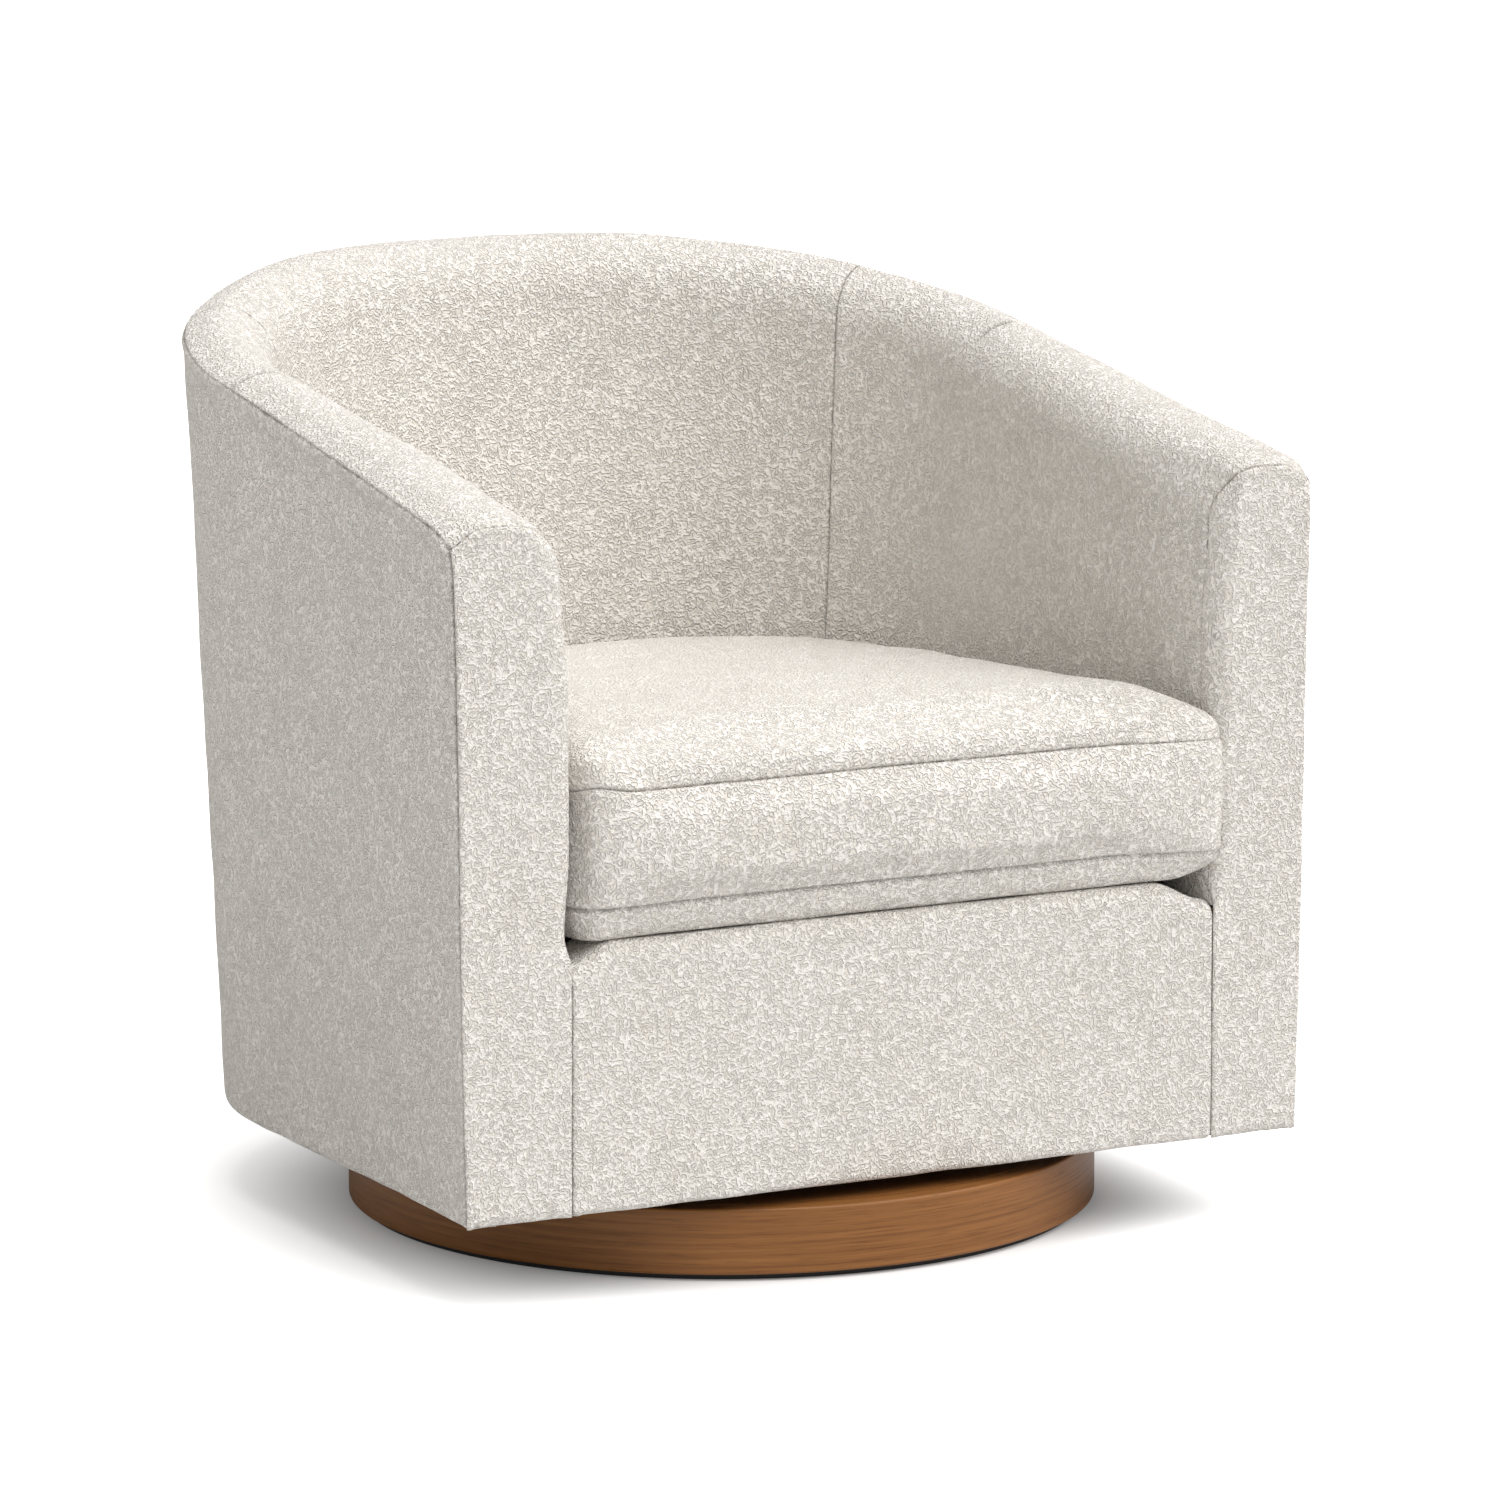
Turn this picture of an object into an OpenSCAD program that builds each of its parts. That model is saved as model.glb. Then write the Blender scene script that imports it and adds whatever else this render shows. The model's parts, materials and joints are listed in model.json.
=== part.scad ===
// Swivel tub armchair: a round plinth, a ball-bearing swivel plate, a timber-framed
// tub with padded arms and back, and a loose boxed seat cushion.
// Millimetres. Origin: swivel axis at the floor. Front of the chair: -Y. Up: +Z.

/* [Tub outline] */
// Width over the arms at the front, at the top seam
top_front_w = 757; // [745:1:765]
// Width at the top seam where the arms start to curve into the back
top_rear_w = 738; // [728:1:746]
// Width over the arms at the front, at the underside
bottom_front_w = 733; // [724:1:742]
// Width at the underside where the arms start to curve into the back
bottom_rear_w = 714; // [706:1:722]
// Distance of the arm fronts ahead of the swivel axis
front_d = 280; // [274:1:286]
// Reach of the back behind the swivel axis, at the top seam
back_top_d = 500; // [492:1:508]
// Reach of the back behind the swivel axis, at the underside
back_bottom_d = 423; // [415:1:431]

/* [Heights] */
// Underside of the tub above the floor
body_z = 69; // [68:0.5:70]
// Outer top seam above the floor at the arm fronts
arm_z = 594; // [585:1:603]
// Rise of the outer top seam for each mm towards the back
seam_rise = 0.16; // [0.14:0.01:0.17]
// Crown of the padding above the outer top seam
crown_h = 12; // [8:1:14]
// Height of the seat deck at its front edge
deck_z = 278; // [276:1:280]
// Fall of the seat deck for each mm towards the back
deck_fall = 0.042; // [0.036:0.001:0.048]

/* [Padding] */
// Thickness of an arm at the underside
arm_t = 84; // [82:1:86]
// Thickness of the wall at the corner between arm and back, at seat height
corner_t = 105; // [103:1:108]
// Thickness of the back at its middle, at seat height
back_t = 132; // [128:1:136]
// Radius of the roll from the arm top down to the inner face
roll_r = 46; // [40:1:50]
// Thickness of the upholstery fabric with its lining
fabric_t = 3; // [2.5:0.1:3]

/* [Cushion] */
// Height of the cushion's upper boxing seam above the deck
cushion_seam_h = 114; // [108:1:118]
// Height of the cushion's lower boxing seam above the deck
cushion_low_seam_h = 26; // [22:1:30]
// Rise of the cushion's crown above the upper boxing seam
cushion_crown = 38; // [30:1:42]
// Radius of the cushion's front corners
cushion_corner_r = 24; // [18:1:30]
// How far the cushion's front stands proud of the arm fronts
cushion_proud = 6; // [4:1:8]

/* [Plinth and swivel] */
// Radius of the round plinth
plinth_r = 299; // [294:1:304]
// Height of the plinth's top face above the floor
plinth_z = 57; // [56.5:0.5:57.5]
// Height of the black floor ring under the plinth
floor_ring_h = 5; // [4:0.5:6]
// Number of balls in the swivel bearing
ball_count = 24; // [16:1:30]
// Radius of each bearing ball
ball_r = 4; // [3.9:0.05:4]

/* [Seat springs] */
// Number of zigzag seat springs
spring_count = 6; // [4:2:6]
// Thickness of the spring wire
spring_wire = 3.8; // [3.2:0.1:4.2]

/* [Hidden] */

// Colours
fabric_col = [0.88, 0.85, 0.81];
lining_col = [0.16, 0.16, 0.17];
foam_col = [0.93, 0.89, 0.72];
timber_col = [0.80, 0.66, 0.46];
oak_col = [0.62, 0.43, 0.26];
board_col = [0.66, 0.56, 0.42];
steel_col = [0.62, 0.63, 0.65];
zinc_col = [0.76, 0.76, 0.74];
black_col = [0.08, 0.08, 0.08];

// Tub outline: the depth at which the arms start to curve into the back
top_corner_y = 152;
bottom_corner_y = 117;
// Squareness of the back curve, where 2 is an ellipse
top_power = 1.85;
bottom_power = 2;
// Depth from which the top seam levels out
level_y = 420;
front_y = -front_d;

// Clearance where frame pieces meet, and how far a cutting solid passes the surface it cuts
part_gap = 0.3;
cut = 1;

// Layers of the wall, counted inwards from the outer face
layer_gap = 0.6;
board_t = 4.4;
frame_out = fabric_t + board_t + 3 * layer_gap;
frame_in = 42;
foam_start = 44;
front_pad_t = 8.4;
cover_front_y = front_y + fabric_t + layer_gap;
inner_front_y = cover_front_y + front_pad_t + layer_gap;
arm_cover_low_z = 256;
back_foam_low_z = 240;
crown_in = 32;
taper_z = 380;
wall_taper = 0.126;
foam_under_seam = 28;
top_rail_h = 28;
panel_drop = 1.5;

// Stations round the tub: -1 front left, 0 middle of the back, 1 front right
side_steps = 5;
arc_steps = 12;
curve_v = 0.5;
seam_v = 1 / 3;
gap_v = 0.0006;
rear_post_out_v = curve_v * 11 / 12;
rear_post_in_v = curve_v * 10 / 12;
front_post_v = 0.957;

// ---- Functions for the tub's wall ----

function smooth(x) = x * x * (3 - 2 * x);

function superellipse(t, half_w, depth, power) =
  [half_w * pow(cos(t), 2 / power), depth * pow(sin(t), 2 / power)];

// Angle round the back curve: 0 where an arm ends, 90 at the middle of the back
function back_angle(v) = 90 * (1 - abs(v) / curve_v);

function outline(v, front_w, rear_w, corner_y, back_y, power) =
  abs(v) >= curve_v
    ? let (s = (1 - abs(v)) / (1 - curve_v))
      [sign(v) * (front_w + (rear_w - front_w) * sin(90 * s)) / 2,
       front_y + (corner_y - front_y) * s]
    : let (e = superellipse(back_angle(v), rear_w / 2, back_y - corner_y, power))
      [sign(v) * e.x, corner_y + e.y];

function top_point(v) =
  outline(v, top_front_w, top_rear_w, top_corner_y, back_top_d, top_power);

function bottom_point(v) =
  outline(v, bottom_front_w, bottom_rear_w, bottom_corner_y, back_bottom_d, bottom_power);

// Height of the outer top seam at a station
function seam_z(v) =
  let (y = top_point(v).y, over = max(y - level_y, 0), run = back_top_d - level_y)
  arm_z + seam_rise * (min(y, level_y) - front_y + over - over * over / (2 * run));

function inward(v) =
  abs(v) >= curve_v
    ? [-sign(v), 0]
    : let (t = back_angle(v), q = 2 * (top_power - 1) / top_power,
           n = [pow(cos(t), q) / (top_rear_w / 2),
                pow(sin(t), q) / (back_top_d - top_corner_y)])
      [-sign(v) * n.x, -n.y] / norm(n);

// Share of the way from the underside to the top seam
function height_share(v, z) = (z - body_z) / (seam_z(v) - body_z);

// A point of the wall: station, depth in from the outer face, height
function wall_point(v, depth, z, y_min) =
  let (b = bottom_point(v), p = b + (top_point(v) - b) * height_share(v, z)
                                + inward(v) * depth)
  [p.x, max(p.y, y_min), z];

// Thickness of the wall from its outer face to its inner face
function wall_t(v, z) =
  let (k = abs(v), over = wall_taper * max(z - taper_z, 0),
       front = arm_t + (top_front_w - bottom_front_w) / 2 * height_share(v, z),
       corner = corner_t - over,
       middle = back_t - over)
  k >= seam_v
    ? front + (corner - front) * smooth((1 - k) / (1 - seam_v))
    : corner + (middle - corner) * smooth((seam_v - k) / seam_v);

// The upper edge of the padding, inset from the finished surface: crown, roll, inner face
function padded_edge(v, inset, low_z) =
  let (top = seam_z(v), t = wall_t(v, top + crown_h - roll_r), face_z = top + crown_h - roll_r,
       r = roll_r - inset, crown_steps = 4, roll_steps = 6, face_steps = 4)
  concat(
    [for (i = [0 : crown_steps])
      let (d = inset + (crown_in - inset) * i / crown_steps)
      [d, top + crown_h * sin(90 * d / crown_in) - inset]],
    [for (i = [0 : roll_steps])
      let (a = 90 - 90 * i / roll_steps)
      [t - roll_r + r * cos(a), face_z + r * sin(a)]],
    [for (i = [1 : face_steps])
      let (z = face_z + (low_z - face_z) * i / face_steps)
      [wall_t(v, z) - inset, z]]
  );

function reversed(list) = [for (i = [len(list) - 1 : -1 : 0]) list[i]];
function flat(lists) = [for (l = lists) each l];

// Stations from one place to another, keeping to the shared grid in between
grid = concat(
  [for (i = [0 : side_steps]) -1 + (1 - curve_v) * i / side_steps],
  [for (i = [1 : 2 * arc_steps - 1]) -curve_v + curve_v * i / arc_steps],
  [for (i = [0 : side_steps]) curve_v + (1 - curve_v) * i / side_steps]
);
function stations(from, to) =
  concat([from], [for (v = grid) if (v > from + gap_v * 2 && v < to - gap_v * 2) v], [to]);

// ---- Modules that turn rings of points into solids ----

// Side faces between two neighbouring rings of n points each, which start at a and b. Every
// four-sided face is split from its lower corner on ring a to its upper corner on ring b, so
// that the layers of the wall stay parallel.
function ring_faces(a, b, ring) = let (n = len(ring)) [
  for (j = [0 : n - 1])
    let (k = (j + 1) % n)
    each ring[k].z >= ring[j].z
      ? [[a + j, b + j, b + k], [a + j, b + k, a + k]]
      : [[a + j, b + j, a + k], [b + j, b + k, a + k]]
];

// Triangles across a ring whose second half runs back along its first, as a thin skin's does
function strip_cap(a, n) = [
  for (j = [0 : n / 2 - 2])
    each [[a + j, a + j + 1, a + n - 1 - j], [a + j + 1, a + n - 2 - j, a + n - 1 - j]]
];

// A solid through open-ended rings, closed by its first and last ring
module loft(rings, thin = false) {
  n = len(rings[0]);
  last = len(rings) - 1;
  sides = [for (i = [0 : last - 1]) each ring_faces(i * n, (i + 1) * n, rings[i])];
  whole = [[for (j = [0 : n - 1]) j], [for (j = [n - 1 : -1 : 0]) last * n + j]];
  strips = concat(strip_cap(0, n), [for (face = strip_cap(last * n, n)) reversed(face)]);
  polyhedron(points = flat(rings), faces = concat(sides, thin ? strips : whole), convexity = 8);
}

// A solid through rings that close on themselves, such as a band
module closed_loft(rings) {
  n = len(rings[0]);
  m = len(rings);
  polyhedron(points = flat(rings), convexity = 8,
    faces = [for (i = [0 : m - 1]) each ring_faces(i * n, ((i + 1) % m) * n, rings[i])]);
}

// A domed skin between outer rings and inner rings, open along its first rings
module dome_skin(outer, inner) {
  n = len(outer[0]);
  all_rings = concat(reversed(inner), outer);
  total = len(all_rings);
  sides = [for (i = [0 : total - 2]) each ring_faces(i * n, (i + 1) * n, all_rings[i])];
  caps = [[for (j = [0 : n - 1]) j], [for (j = [n - 1 : -1 : 0]) (total - 1) * n + j]];
  polyhedron(points = flat(all_rings), faces = concat(sides, caps), convexity = 8);
}

// The ring of points that a section of [depth, height] points makes at a station
function wall_ring(v, y_min, section) =
  [for (p = section(v)) wall_point(v, p[0], p[1], y_min)];

// The same ring anywhere: at a grid station as it is, and between two of them on the straight
// lines that join their rings
function ring_between(v, y_min, section) =
  len([for (g = grid) if (abs(g - v) < gap_v * 3) g]) > 0
    ? wall_ring(v, y_min, section)
    : let (i = len([for (g = grid) if (g <= v) g]),
           share = (v - grid[i - 1]) / (grid[i] - grid[i - 1]),
           a = wall_ring(grid[i - 1], y_min, section),
           b = wall_ring(grid[i], y_min, section))
      [for (j = [0 : len(a) - 1]) a[j] + (b[j] - a[j]) * share];

// A part of the wall with a section of [depth, height] points at each station
module wall_sweep(from, to, y_min, section, thin = false) {
  loft([for (v = stations(from, to)) ring_between(v, y_min, section)], thin);
}

// A four-sided wall part between two depths and two heights
module wall_block(from, to, d0, d1, low, high) {
  wall_sweep(from, to, inner_front_y,
    function(v) [[d0, low(v)], [d0, high(v)], [d1, high(v)], [d1, low(v)]]);
}

function level(z) = function(v) z;
function below_seam(drop) = function(v) seam_z(v) - drop;

// ---- Plinth ----

module ring(outer_r, inner_r, z0, z1) {
  translate([0, 0, z0]) difference() {
    cylinder(r = outer_r, h = z1 - z0, $fn = 180);
    translate([0, 0, -cut]) cylinder(r = inner_r, h = z1 - z0 + 2 * cut, $fn = 180);
  }
}

rim_t = 18;
plinth_board_t = 18;
brace_t = 22;
brace_w = 70;
plinth_edge_r = 2.5;
rivet_well_r = 40;
plate_hole_pitch = 240;
screw_r = 2.4;
plinth_board_z = plinth_z - plinth_board_t;
plinth_inner_r = plinth_r - rim_t;

module floor_ring() {
  color(black_col) ring(plinth_r - 8, plinth_r - 26, 0, floor_ring_h);
}

module plinth_rim() {
  edge = [for (a = [0 : 15 : 90])
    [plinth_r - plinth_edge_r + plinth_edge_r * cos(a),
     plinth_z - plinth_edge_r + plinth_edge_r * sin(a)]];
  color(oak_col) rotate_extrude($fn = 180)
    polygon(concat([[plinth_inner_r, floor_ring_h], [plinth_r, floor_ring_h]], edge,
      [[plinth_inner_r, plinth_z]]));
}

module at_plate_holes() {
  for (x = [-1, 1], y = [-1, 1])
    translate([x * plate_hole_pitch / 2, y * plate_hole_pitch / 2, 0]) children();
}

module plinth_top() {
  color(oak_col) difference() {
    ring(plinth_inner_r - part_gap, rivet_well_r, plinth_board_z, plinth_z);
    at_plate_holes() translate([0, 0, plinth_board_z - cut])
      cylinder(r = screw_r, h = plinth_board_t + 2 * cut, $fn = 24);
  }
}

brace_z = plinth_board_z - brace_t;
brace_l = 540;

module brace(notch_z) {
  translate([-brace_l / 2, -brace_w / 2, brace_z]) difference() {
    cube([brace_l, brace_w, brace_t]);
    translate([(brace_l - brace_w) / 2 - part_gap, -cut, notch_z])
      cube([brace_w + 2 * part_gap, brace_w + 2 * cut, brace_t / 2 + cut]);
  }
}

module plinth_brace_long() {
  color(timber_col) rotate([0, 0, 45]) brace(brace_t / 2);
}

module plinth_brace_cross() {
  color(timber_col) rotate([0, 0, -45]) brace(-1);
}

// ---- Swivel ----

plate_size = 280;
plate_t = 2.5;
plate_corner_r = 20;
race_mid_r = 110;
race_half_w = 12;
groove_play = 0.1;
race_gap = 0.8;
lower_plate_z = plinth_z;
upper_plate_z = body_z + 0.5;
ball_z = (lower_plate_z + plate_t + upper_plate_z) / 2;
rivet_r = 19.92;
rivet_hole_r = 20;
rivet_bore_r = 14;
rivet_flange_r = 26;

module swivel_plate(z, centre_hole_r, hole_r) {
  inner = plate_size - 2 * plate_corner_r;
  translate([0, 0, z]) linear_extrude(plate_t) difference() {
    union() {
      square([plate_size, inner], center = true);
      square([inner, plate_size], center = true);
      for (x = [-1, 1], y = [-1, 1])
        translate([x * inner / 2, y * inner / 2]) circle(r = plate_corner_r, $fn = 48);
    }
    circle(r = centre_hole_r, $fn = 96);
    for (x = [-1, 1], y = [-1, 1])
      translate([x * plate_hole_pitch / 2, y * plate_hole_pitch / 2])
        circle(r = hole_r, $fn = 32);
  }
}

module swivel_lower_plate() {
  color(steel_col) swivel_plate(lower_plate_z, rivet_hole_r, screw_r + 0.1);
}

module swivel_upper_plate() {
  color(steel_col) swivel_plate(upper_plate_z, rivet_r, screw_r + 0.1);
}

module race(z0, z1) {
  color(steel_col) rotate_extrude($fn = 144) difference() {
    translate([race_mid_r - race_half_w, z0]) square([2 * race_half_w, z1 - z0]);
    translate([race_mid_r, ball_z]) circle(r = ball_r + groove_play, $fn = 48);
  }
}

module lower_race() {
  race(lower_plate_z + plate_t, ball_z - race_gap);
}

module upper_race() {
  race(ball_z + race_gap, upper_plate_z);
}

module at_balls() {
  for (i = [0 : ball_count - 1])
    rotate([0, 0, i * 360 / ball_count]) translate([race_mid_r, 0, ball_z]) children();
}

cage_t = 0.8;

module ball_cage() {
  color(zinc_col) difference() {
    ring(race_mid_r + race_half_w - 1, race_mid_r - race_half_w + 1,
      ball_z - cage_t / 2, ball_z + cage_t / 2);
    at_balls() cylinder(r = ball_r + 0.2, h = cage_t * 2, center = true, $fn = 32);
  }
}

module bearing_balls() {
  color(zinc_col) at_balls() sphere(r = ball_r, $fn = 40);
}

module centre_rivet() {
  flange_t = 2;
  low = lower_plate_z - 0.4 - flange_t;
  high = upper_plate_z + plate_t;
  color(zinc_col) rotate_extrude($fn = 96) polygon([
    [rivet_bore_r, low], [rivet_flange_r, low], [rivet_flange_r, low + flange_t],
    [rivet_r, low + flange_t], [rivet_r, high], [rivet_flange_r, high],
    [rivet_flange_r, high + flange_t], [rivet_bore_r, high + flange_t]
  ]);
}

// A pan-head wood screw with its head's seat at z = 0 and its shank downwards
module wood_screw(length) {
  cylinder(r1 = 4.6, r2 = 3.4, h = 2.4, $fn = 32);
  translate([0, 0, -length + 4]) cylinder(r = screw_r - 0.1, h = length - 4, $fn = 24);
  translate([0, 0, -length]) cylinder(r1 = 0.6, r2 = screw_r - 0.1, h = 4, $fn = 24);
}

module lower_plate_screws() {
  color(zinc_col) at_plate_holes() translate([0, 0, lower_plate_z + plate_t]) wood_screw(20);
}

module upper_plate_screws() {
  color(zinc_col) at_plate_holes() translate([0, 0, upper_plate_z])
    rotate([180, 0, 0]) wood_screw(22);
}

// ---- Timber frame ----

frame_z = body_z + 3;
bottom_board_t = 18;
bottom_board_w = 60;
swivel_rail_w = 80;
swivel_rail_t = 24;
swivel_rail_l = 583;
side_rail_z = 200;
side_rail_h = 50;
back_rail_z = 176;
back_rail_h = 48;
front_rail_h = 162;
front_rail_t = 22;
front_rail_z = frame_z + bottom_board_t + 0.2;
post_low_z = front_rail_z;

// A closed plan outline of the wall at one height, inset from the outer face
function plan(inset, z, y_min) =
  [for (v = grid) let (p = wall_point(v, inset, z, y_min)) [p.x, p.y]];

module bottom_frame() {
  color(timber_col) translate([0, 0, frame_z]) linear_extrude(bottom_board_t) difference() {
    polygon(plan(frame_out, frame_z, inner_front_y));
    polygon(plan(bottom_board_w, frame_z, inner_front_y + bottom_board_w - frame_out));
  }
}

module swivel_rails() {
  color(timber_col) for (side = [-1, 1]) difference() {
    translate([-swivel_rail_l / 2, side * plate_hole_pitch / 2 - swivel_rail_w / 2, frame_z])
      cube([swivel_rail_l, swivel_rail_w, swivel_rail_t]);
    at_plate_holes() translate([0, 0, frame_z - cut])
      cylinder(r = screw_r, h = swivel_rail_t + 2 * cut, $fn = 24);
  }
}

module dust_cover() {
  hole = plate_size + 6;
  color(lining_col) translate([0, 0, body_z + 1.5]) linear_extrude(1) difference() {
    polygon(plan(fabric_t + 1, body_z, cover_front_y + 1));
    square([hole, hole], center = true);
  }
}

module post(from, to, low, high_drop) {
  wall_block(from, to, frame_out, frame_in, level(low), below_seam(high_drop));
}

// Drops below the top seam: the top rail's upper and lower faces, and the posts' upper ends
top_rail_high = foam_under_seam + 1;
top_rail_low = top_rail_high + top_rail_h;
post_drop = top_rail_low + 2;

module front_post_left() {
  color(timber_col) post(-1, -front_post_v, post_low_z, post_drop);
}

module front_post_right() {
  color(timber_col) post(front_post_v, 1, post_low_z, post_drop);
}

module rear_post_left() {
  color(timber_col) post(-rear_post_out_v, -rear_post_in_v, post_low_z, post_drop);
}

module rear_post_right() {
  color(timber_col) post(rear_post_in_v, rear_post_out_v, post_low_z, post_drop);
}

module back_uprights() {
  out_v = 0.156;
  in_v = 0.134;
  color(timber_col) for (side = [-1, 1]) {
    from = min(side * in_v, side * out_v);
    to = max(side * in_v, side * out_v);
    post(from, to, back_rail_z + back_rail_h + part_gap, post_drop);
    wall_block(from, to, frame_out, frame_in, level(post_low_z),
      level(back_rail_z - part_gap));
  }
}

// Room between the frame's sides and what stands between them
between_gap = 1;

module front_rail() {
  reach = bottom_front_w - 2 * (frame_in + between_gap);
  color(timber_col) translate([-reach / 2, inner_front_y, front_rail_z])
    cube([reach, front_rail_t, front_rail_h]);
}

module side_rail(from, to) {
  wall_block(from, to, frame_out, frame_in, level(side_rail_z),
    level(side_rail_z + side_rail_h));
}

module side_rail_left() {
  color(timber_col) side_rail(-front_post_v + gap_v * 2, -rear_post_out_v - gap_v);
}

module side_rail_right() {
  color(timber_col) side_rail(rear_post_out_v + gap_v, front_post_v - gap_v * 2);
}

module back_rail() {
  end_v = rear_post_in_v - gap_v;
  color(timber_col) wall_block(-end_v, end_v, frame_out, frame_in,
    level(back_rail_z), level(back_rail_z + back_rail_h));
}

module top_rail(from, to) {
  wall_block(from, to, frame_out, frame_in, below_seam(top_rail_low),
    below_seam(top_rail_high));
}

top_rail_joint_v = (rear_post_in_v + rear_post_out_v) / 2;

module arm_top_rail_left() {
  color(timber_col) top_rail(-1, -top_rail_joint_v - gap_v);
}

module arm_top_rail_right() {
  color(timber_col) top_rail(top_rail_joint_v + gap_v, 1);
}

module back_top_rail() {
  end_v = top_rail_joint_v - gap_v;
  color(timber_col) top_rail(-end_v, end_v);
}

module corner_blocks() {
  leg = 70;
  height = side_rail_h - 6;
  side_x = bottom_front_w / 2 - frame_in - 2 * between_gap;
  behind_y = inner_front_y + front_rail_t + part_gap;
  color(timber_col) for (side = [-1, 1])
    translate([0, 0, side_rail_z]) linear_extrude(height)
      polygon([[side * side_x, behind_y], [side * (side_x - leg), behind_y],
        [side * side_x, behind_y + leg]]);
}

// ---- Seat deck ----

deck_angle = atan(deck_fall);
deck_cloth_t = 1.5;
deck_pad_t = 14;
deck_front = 59;
deck_margin = 2;
deck_gap = 0.1;
// Larger than the whole tub
all_over = 1000;
spring_top = -18;
spring_amp = 20;
spring_pitch = 72;
spring_wave_l = 66;
spring_front = 23;
back_rail_mid = 25;

// Height of the deck's upper face at a depth
function deck_at(y) = deck_z - deck_fall * (y - front_y);

// The frame of the sloping deck: origin at its front edge, upper face at z = 0
module on_deck() {
  translate([0, front_y, deck_z]) rotate([-deck_angle, 0, 0]) children();
}

module deck_layer(top, thickness, margin) {
  on_deck() translate([0, -front_y, top - thickness]) linear_extrude(thickness)
    intersection() {
      polygon([for (v = grid) let (z = back_foam_low_z,
                 p = wall_point(v, wall_t(v, z) + margin, z, front_y)) [p.x, p.y]]);
      translate([-all_over / 2, front_y + deck_front]) square(all_over);
    }
}

module deck_pad() {
  color(foam_col) deck_layer(-deck_cloth_t - deck_gap, deck_pad_t, deck_margin);
}

module deck_cloth() {
  color(lining_col) deck_layer(0, deck_cloth_t, deck_margin);
}

// How far the leaning wall has moved back at the back rail's height: corners and middle
rail_lean_corner = 6;
rail_lean_back = 22;

// Depth of the back rail's middle line at a distance from the centre line
function back_rail_y(x) =
  let (half = bottom_rear_w / 2 - back_rail_mid,
       corner_y = bottom_corner_y + rail_lean_corner,
       back_y = back_bottom_d + rail_lean_back - back_rail_mid)
  corner_y + (back_y - corner_y) * sqrt(1 - pow(x / half, 2));

spring_xs = [for (i = [0 : spring_count - 1]) (i - (spring_count - 1) / 2) * spring_pitch];

// Centre line of one zigzag spring and its sideways direction, at a share of its length
function spring_point(share, length, waves) = [spring_amp * sin(360 * waves * share), length * share];
function spring_side(share, length, waves) =
  let (slope = spring_amp * waves * 2 * PI / length * cos(360 * waves * share))
  [1, -slope] / norm([1, slope]);

module zigzag_spring(length) {
  waves = round(length / spring_wave_l);
  steps = waves * 8;
  side = spring_wire / 2;
  left = [for (i = [0 : steps]) spring_point(i / steps, length, waves)
           + side * spring_side(i / steps, length, waves)];
  right = [for (i = [steps : -1 : 0]) spring_point(i / steps, length, waves)
            - side * spring_side(i / steps, length, waves)];
  linear_extrude(spring_wire) polygon(concat(left, right));
}

module seat_springs() {
  color(steel_col) on_deck() for (x = spring_xs)
    translate([x, spring_front, spring_top - spring_wire])
      zigzag_spring(back_rail_y(x) - front_y - spring_front);
}

module spring_clip() {
  wire_gap = 0.4;
  sheet_t = 1.4;
  clip = [14, 17, spring_wire + 2 * (wire_gap + sheet_t)];
  slot = [clip.x + 2 * cut, 12.4, spring_wire + 2 * wire_gap];
  difference() {
    translate([-clip.x / 2, -clip.y / 2, -clip.z + wire_gap + sheet_t]) cube(clip);
    translate([-slot.x / 2, -slot.y / 2, -spring_wire - wire_gap]) cube(slot);
  }
}

module spring_clips() {
  color(zinc_col) on_deck() for (x = spring_xs) {
    translate([x, spring_front, spring_top]) spring_clip();
    translate([x, back_rail_y(x) - front_y, spring_top]) spring_clip();
  }
}

// ---- Outside boards and foam ----

module outside_board(from, to) {
  wall_block(from, to, fabric_t + layer_gap, fabric_t + layer_gap + board_t,
    level(frame_z), below_seam(top_rail_high + between_gap));
}

module outside_board_left() {
  color(board_col) outside_board(-1, -rear_post_in_v - gap_v);
}

module outside_board_right() {
  color(board_col) outside_board(rear_post_in_v + gap_v, 1);
}

module outside_board_back() {
  end_v = rear_post_in_v - gap_v;
  color(board_col) outside_board(-end_v, end_v);
}

// Foam over the top rail and down the inner face
module wall_foam(from, to, low_z) {
  inset = fabric_t + layer_gap;
  wall_sweep(from, to, inner_front_y, function(v)
    let (under = seam_z(v) - foam_under_seam)
    concat(padded_edge(v, inset, low_z),
      [[foam_start, low_z], [foam_start, under], [inset, under]]));
}

module arm_foam_left() {
  color(foam_col) wall_foam(-1, -seam_v - gap_v, arm_cover_low_z);
}

module arm_foam_right() {
  color(foam_col) wall_foam(seam_v + gap_v, 1, arm_cover_low_z);
}

module back_foam() {
  end_v = seam_v - gap_v;
  color(foam_col) wall_foam(-end_v, end_v, back_foam_low_z);
}

// A flat slice of the arm's front section, between two depths
module arm_slice(side, inset, y0, y1, low_z) {
  edge = concat([[inset, low_z]], padded_edge(side, inset, low_z));
  translate([0, y1, 0]) rotate([90, 0, 0]) linear_extrude(y1 - y0)
    polygon([for (p = edge) let (q = wall_point(side, p[0], p[1], front_y)) [q.x, q.z]]);
}

module arm_front_pad(side) {
  color(foam_col) arm_slice(side, fabric_t + layer_gap, cover_front_y,
    cover_front_y + front_pad_t, frame_z);
}

module arm_front_pad_left() {
  arm_front_pad(-1);
}

module arm_front_pad_right() {
  arm_front_pad(1);
}

// ---- Front rail upholstery ----

rail_half_w = bottom_front_w / 2 - arm_t - fabric_t;
rail_round_r = 12;
rail_top_depth = 56;

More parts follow.
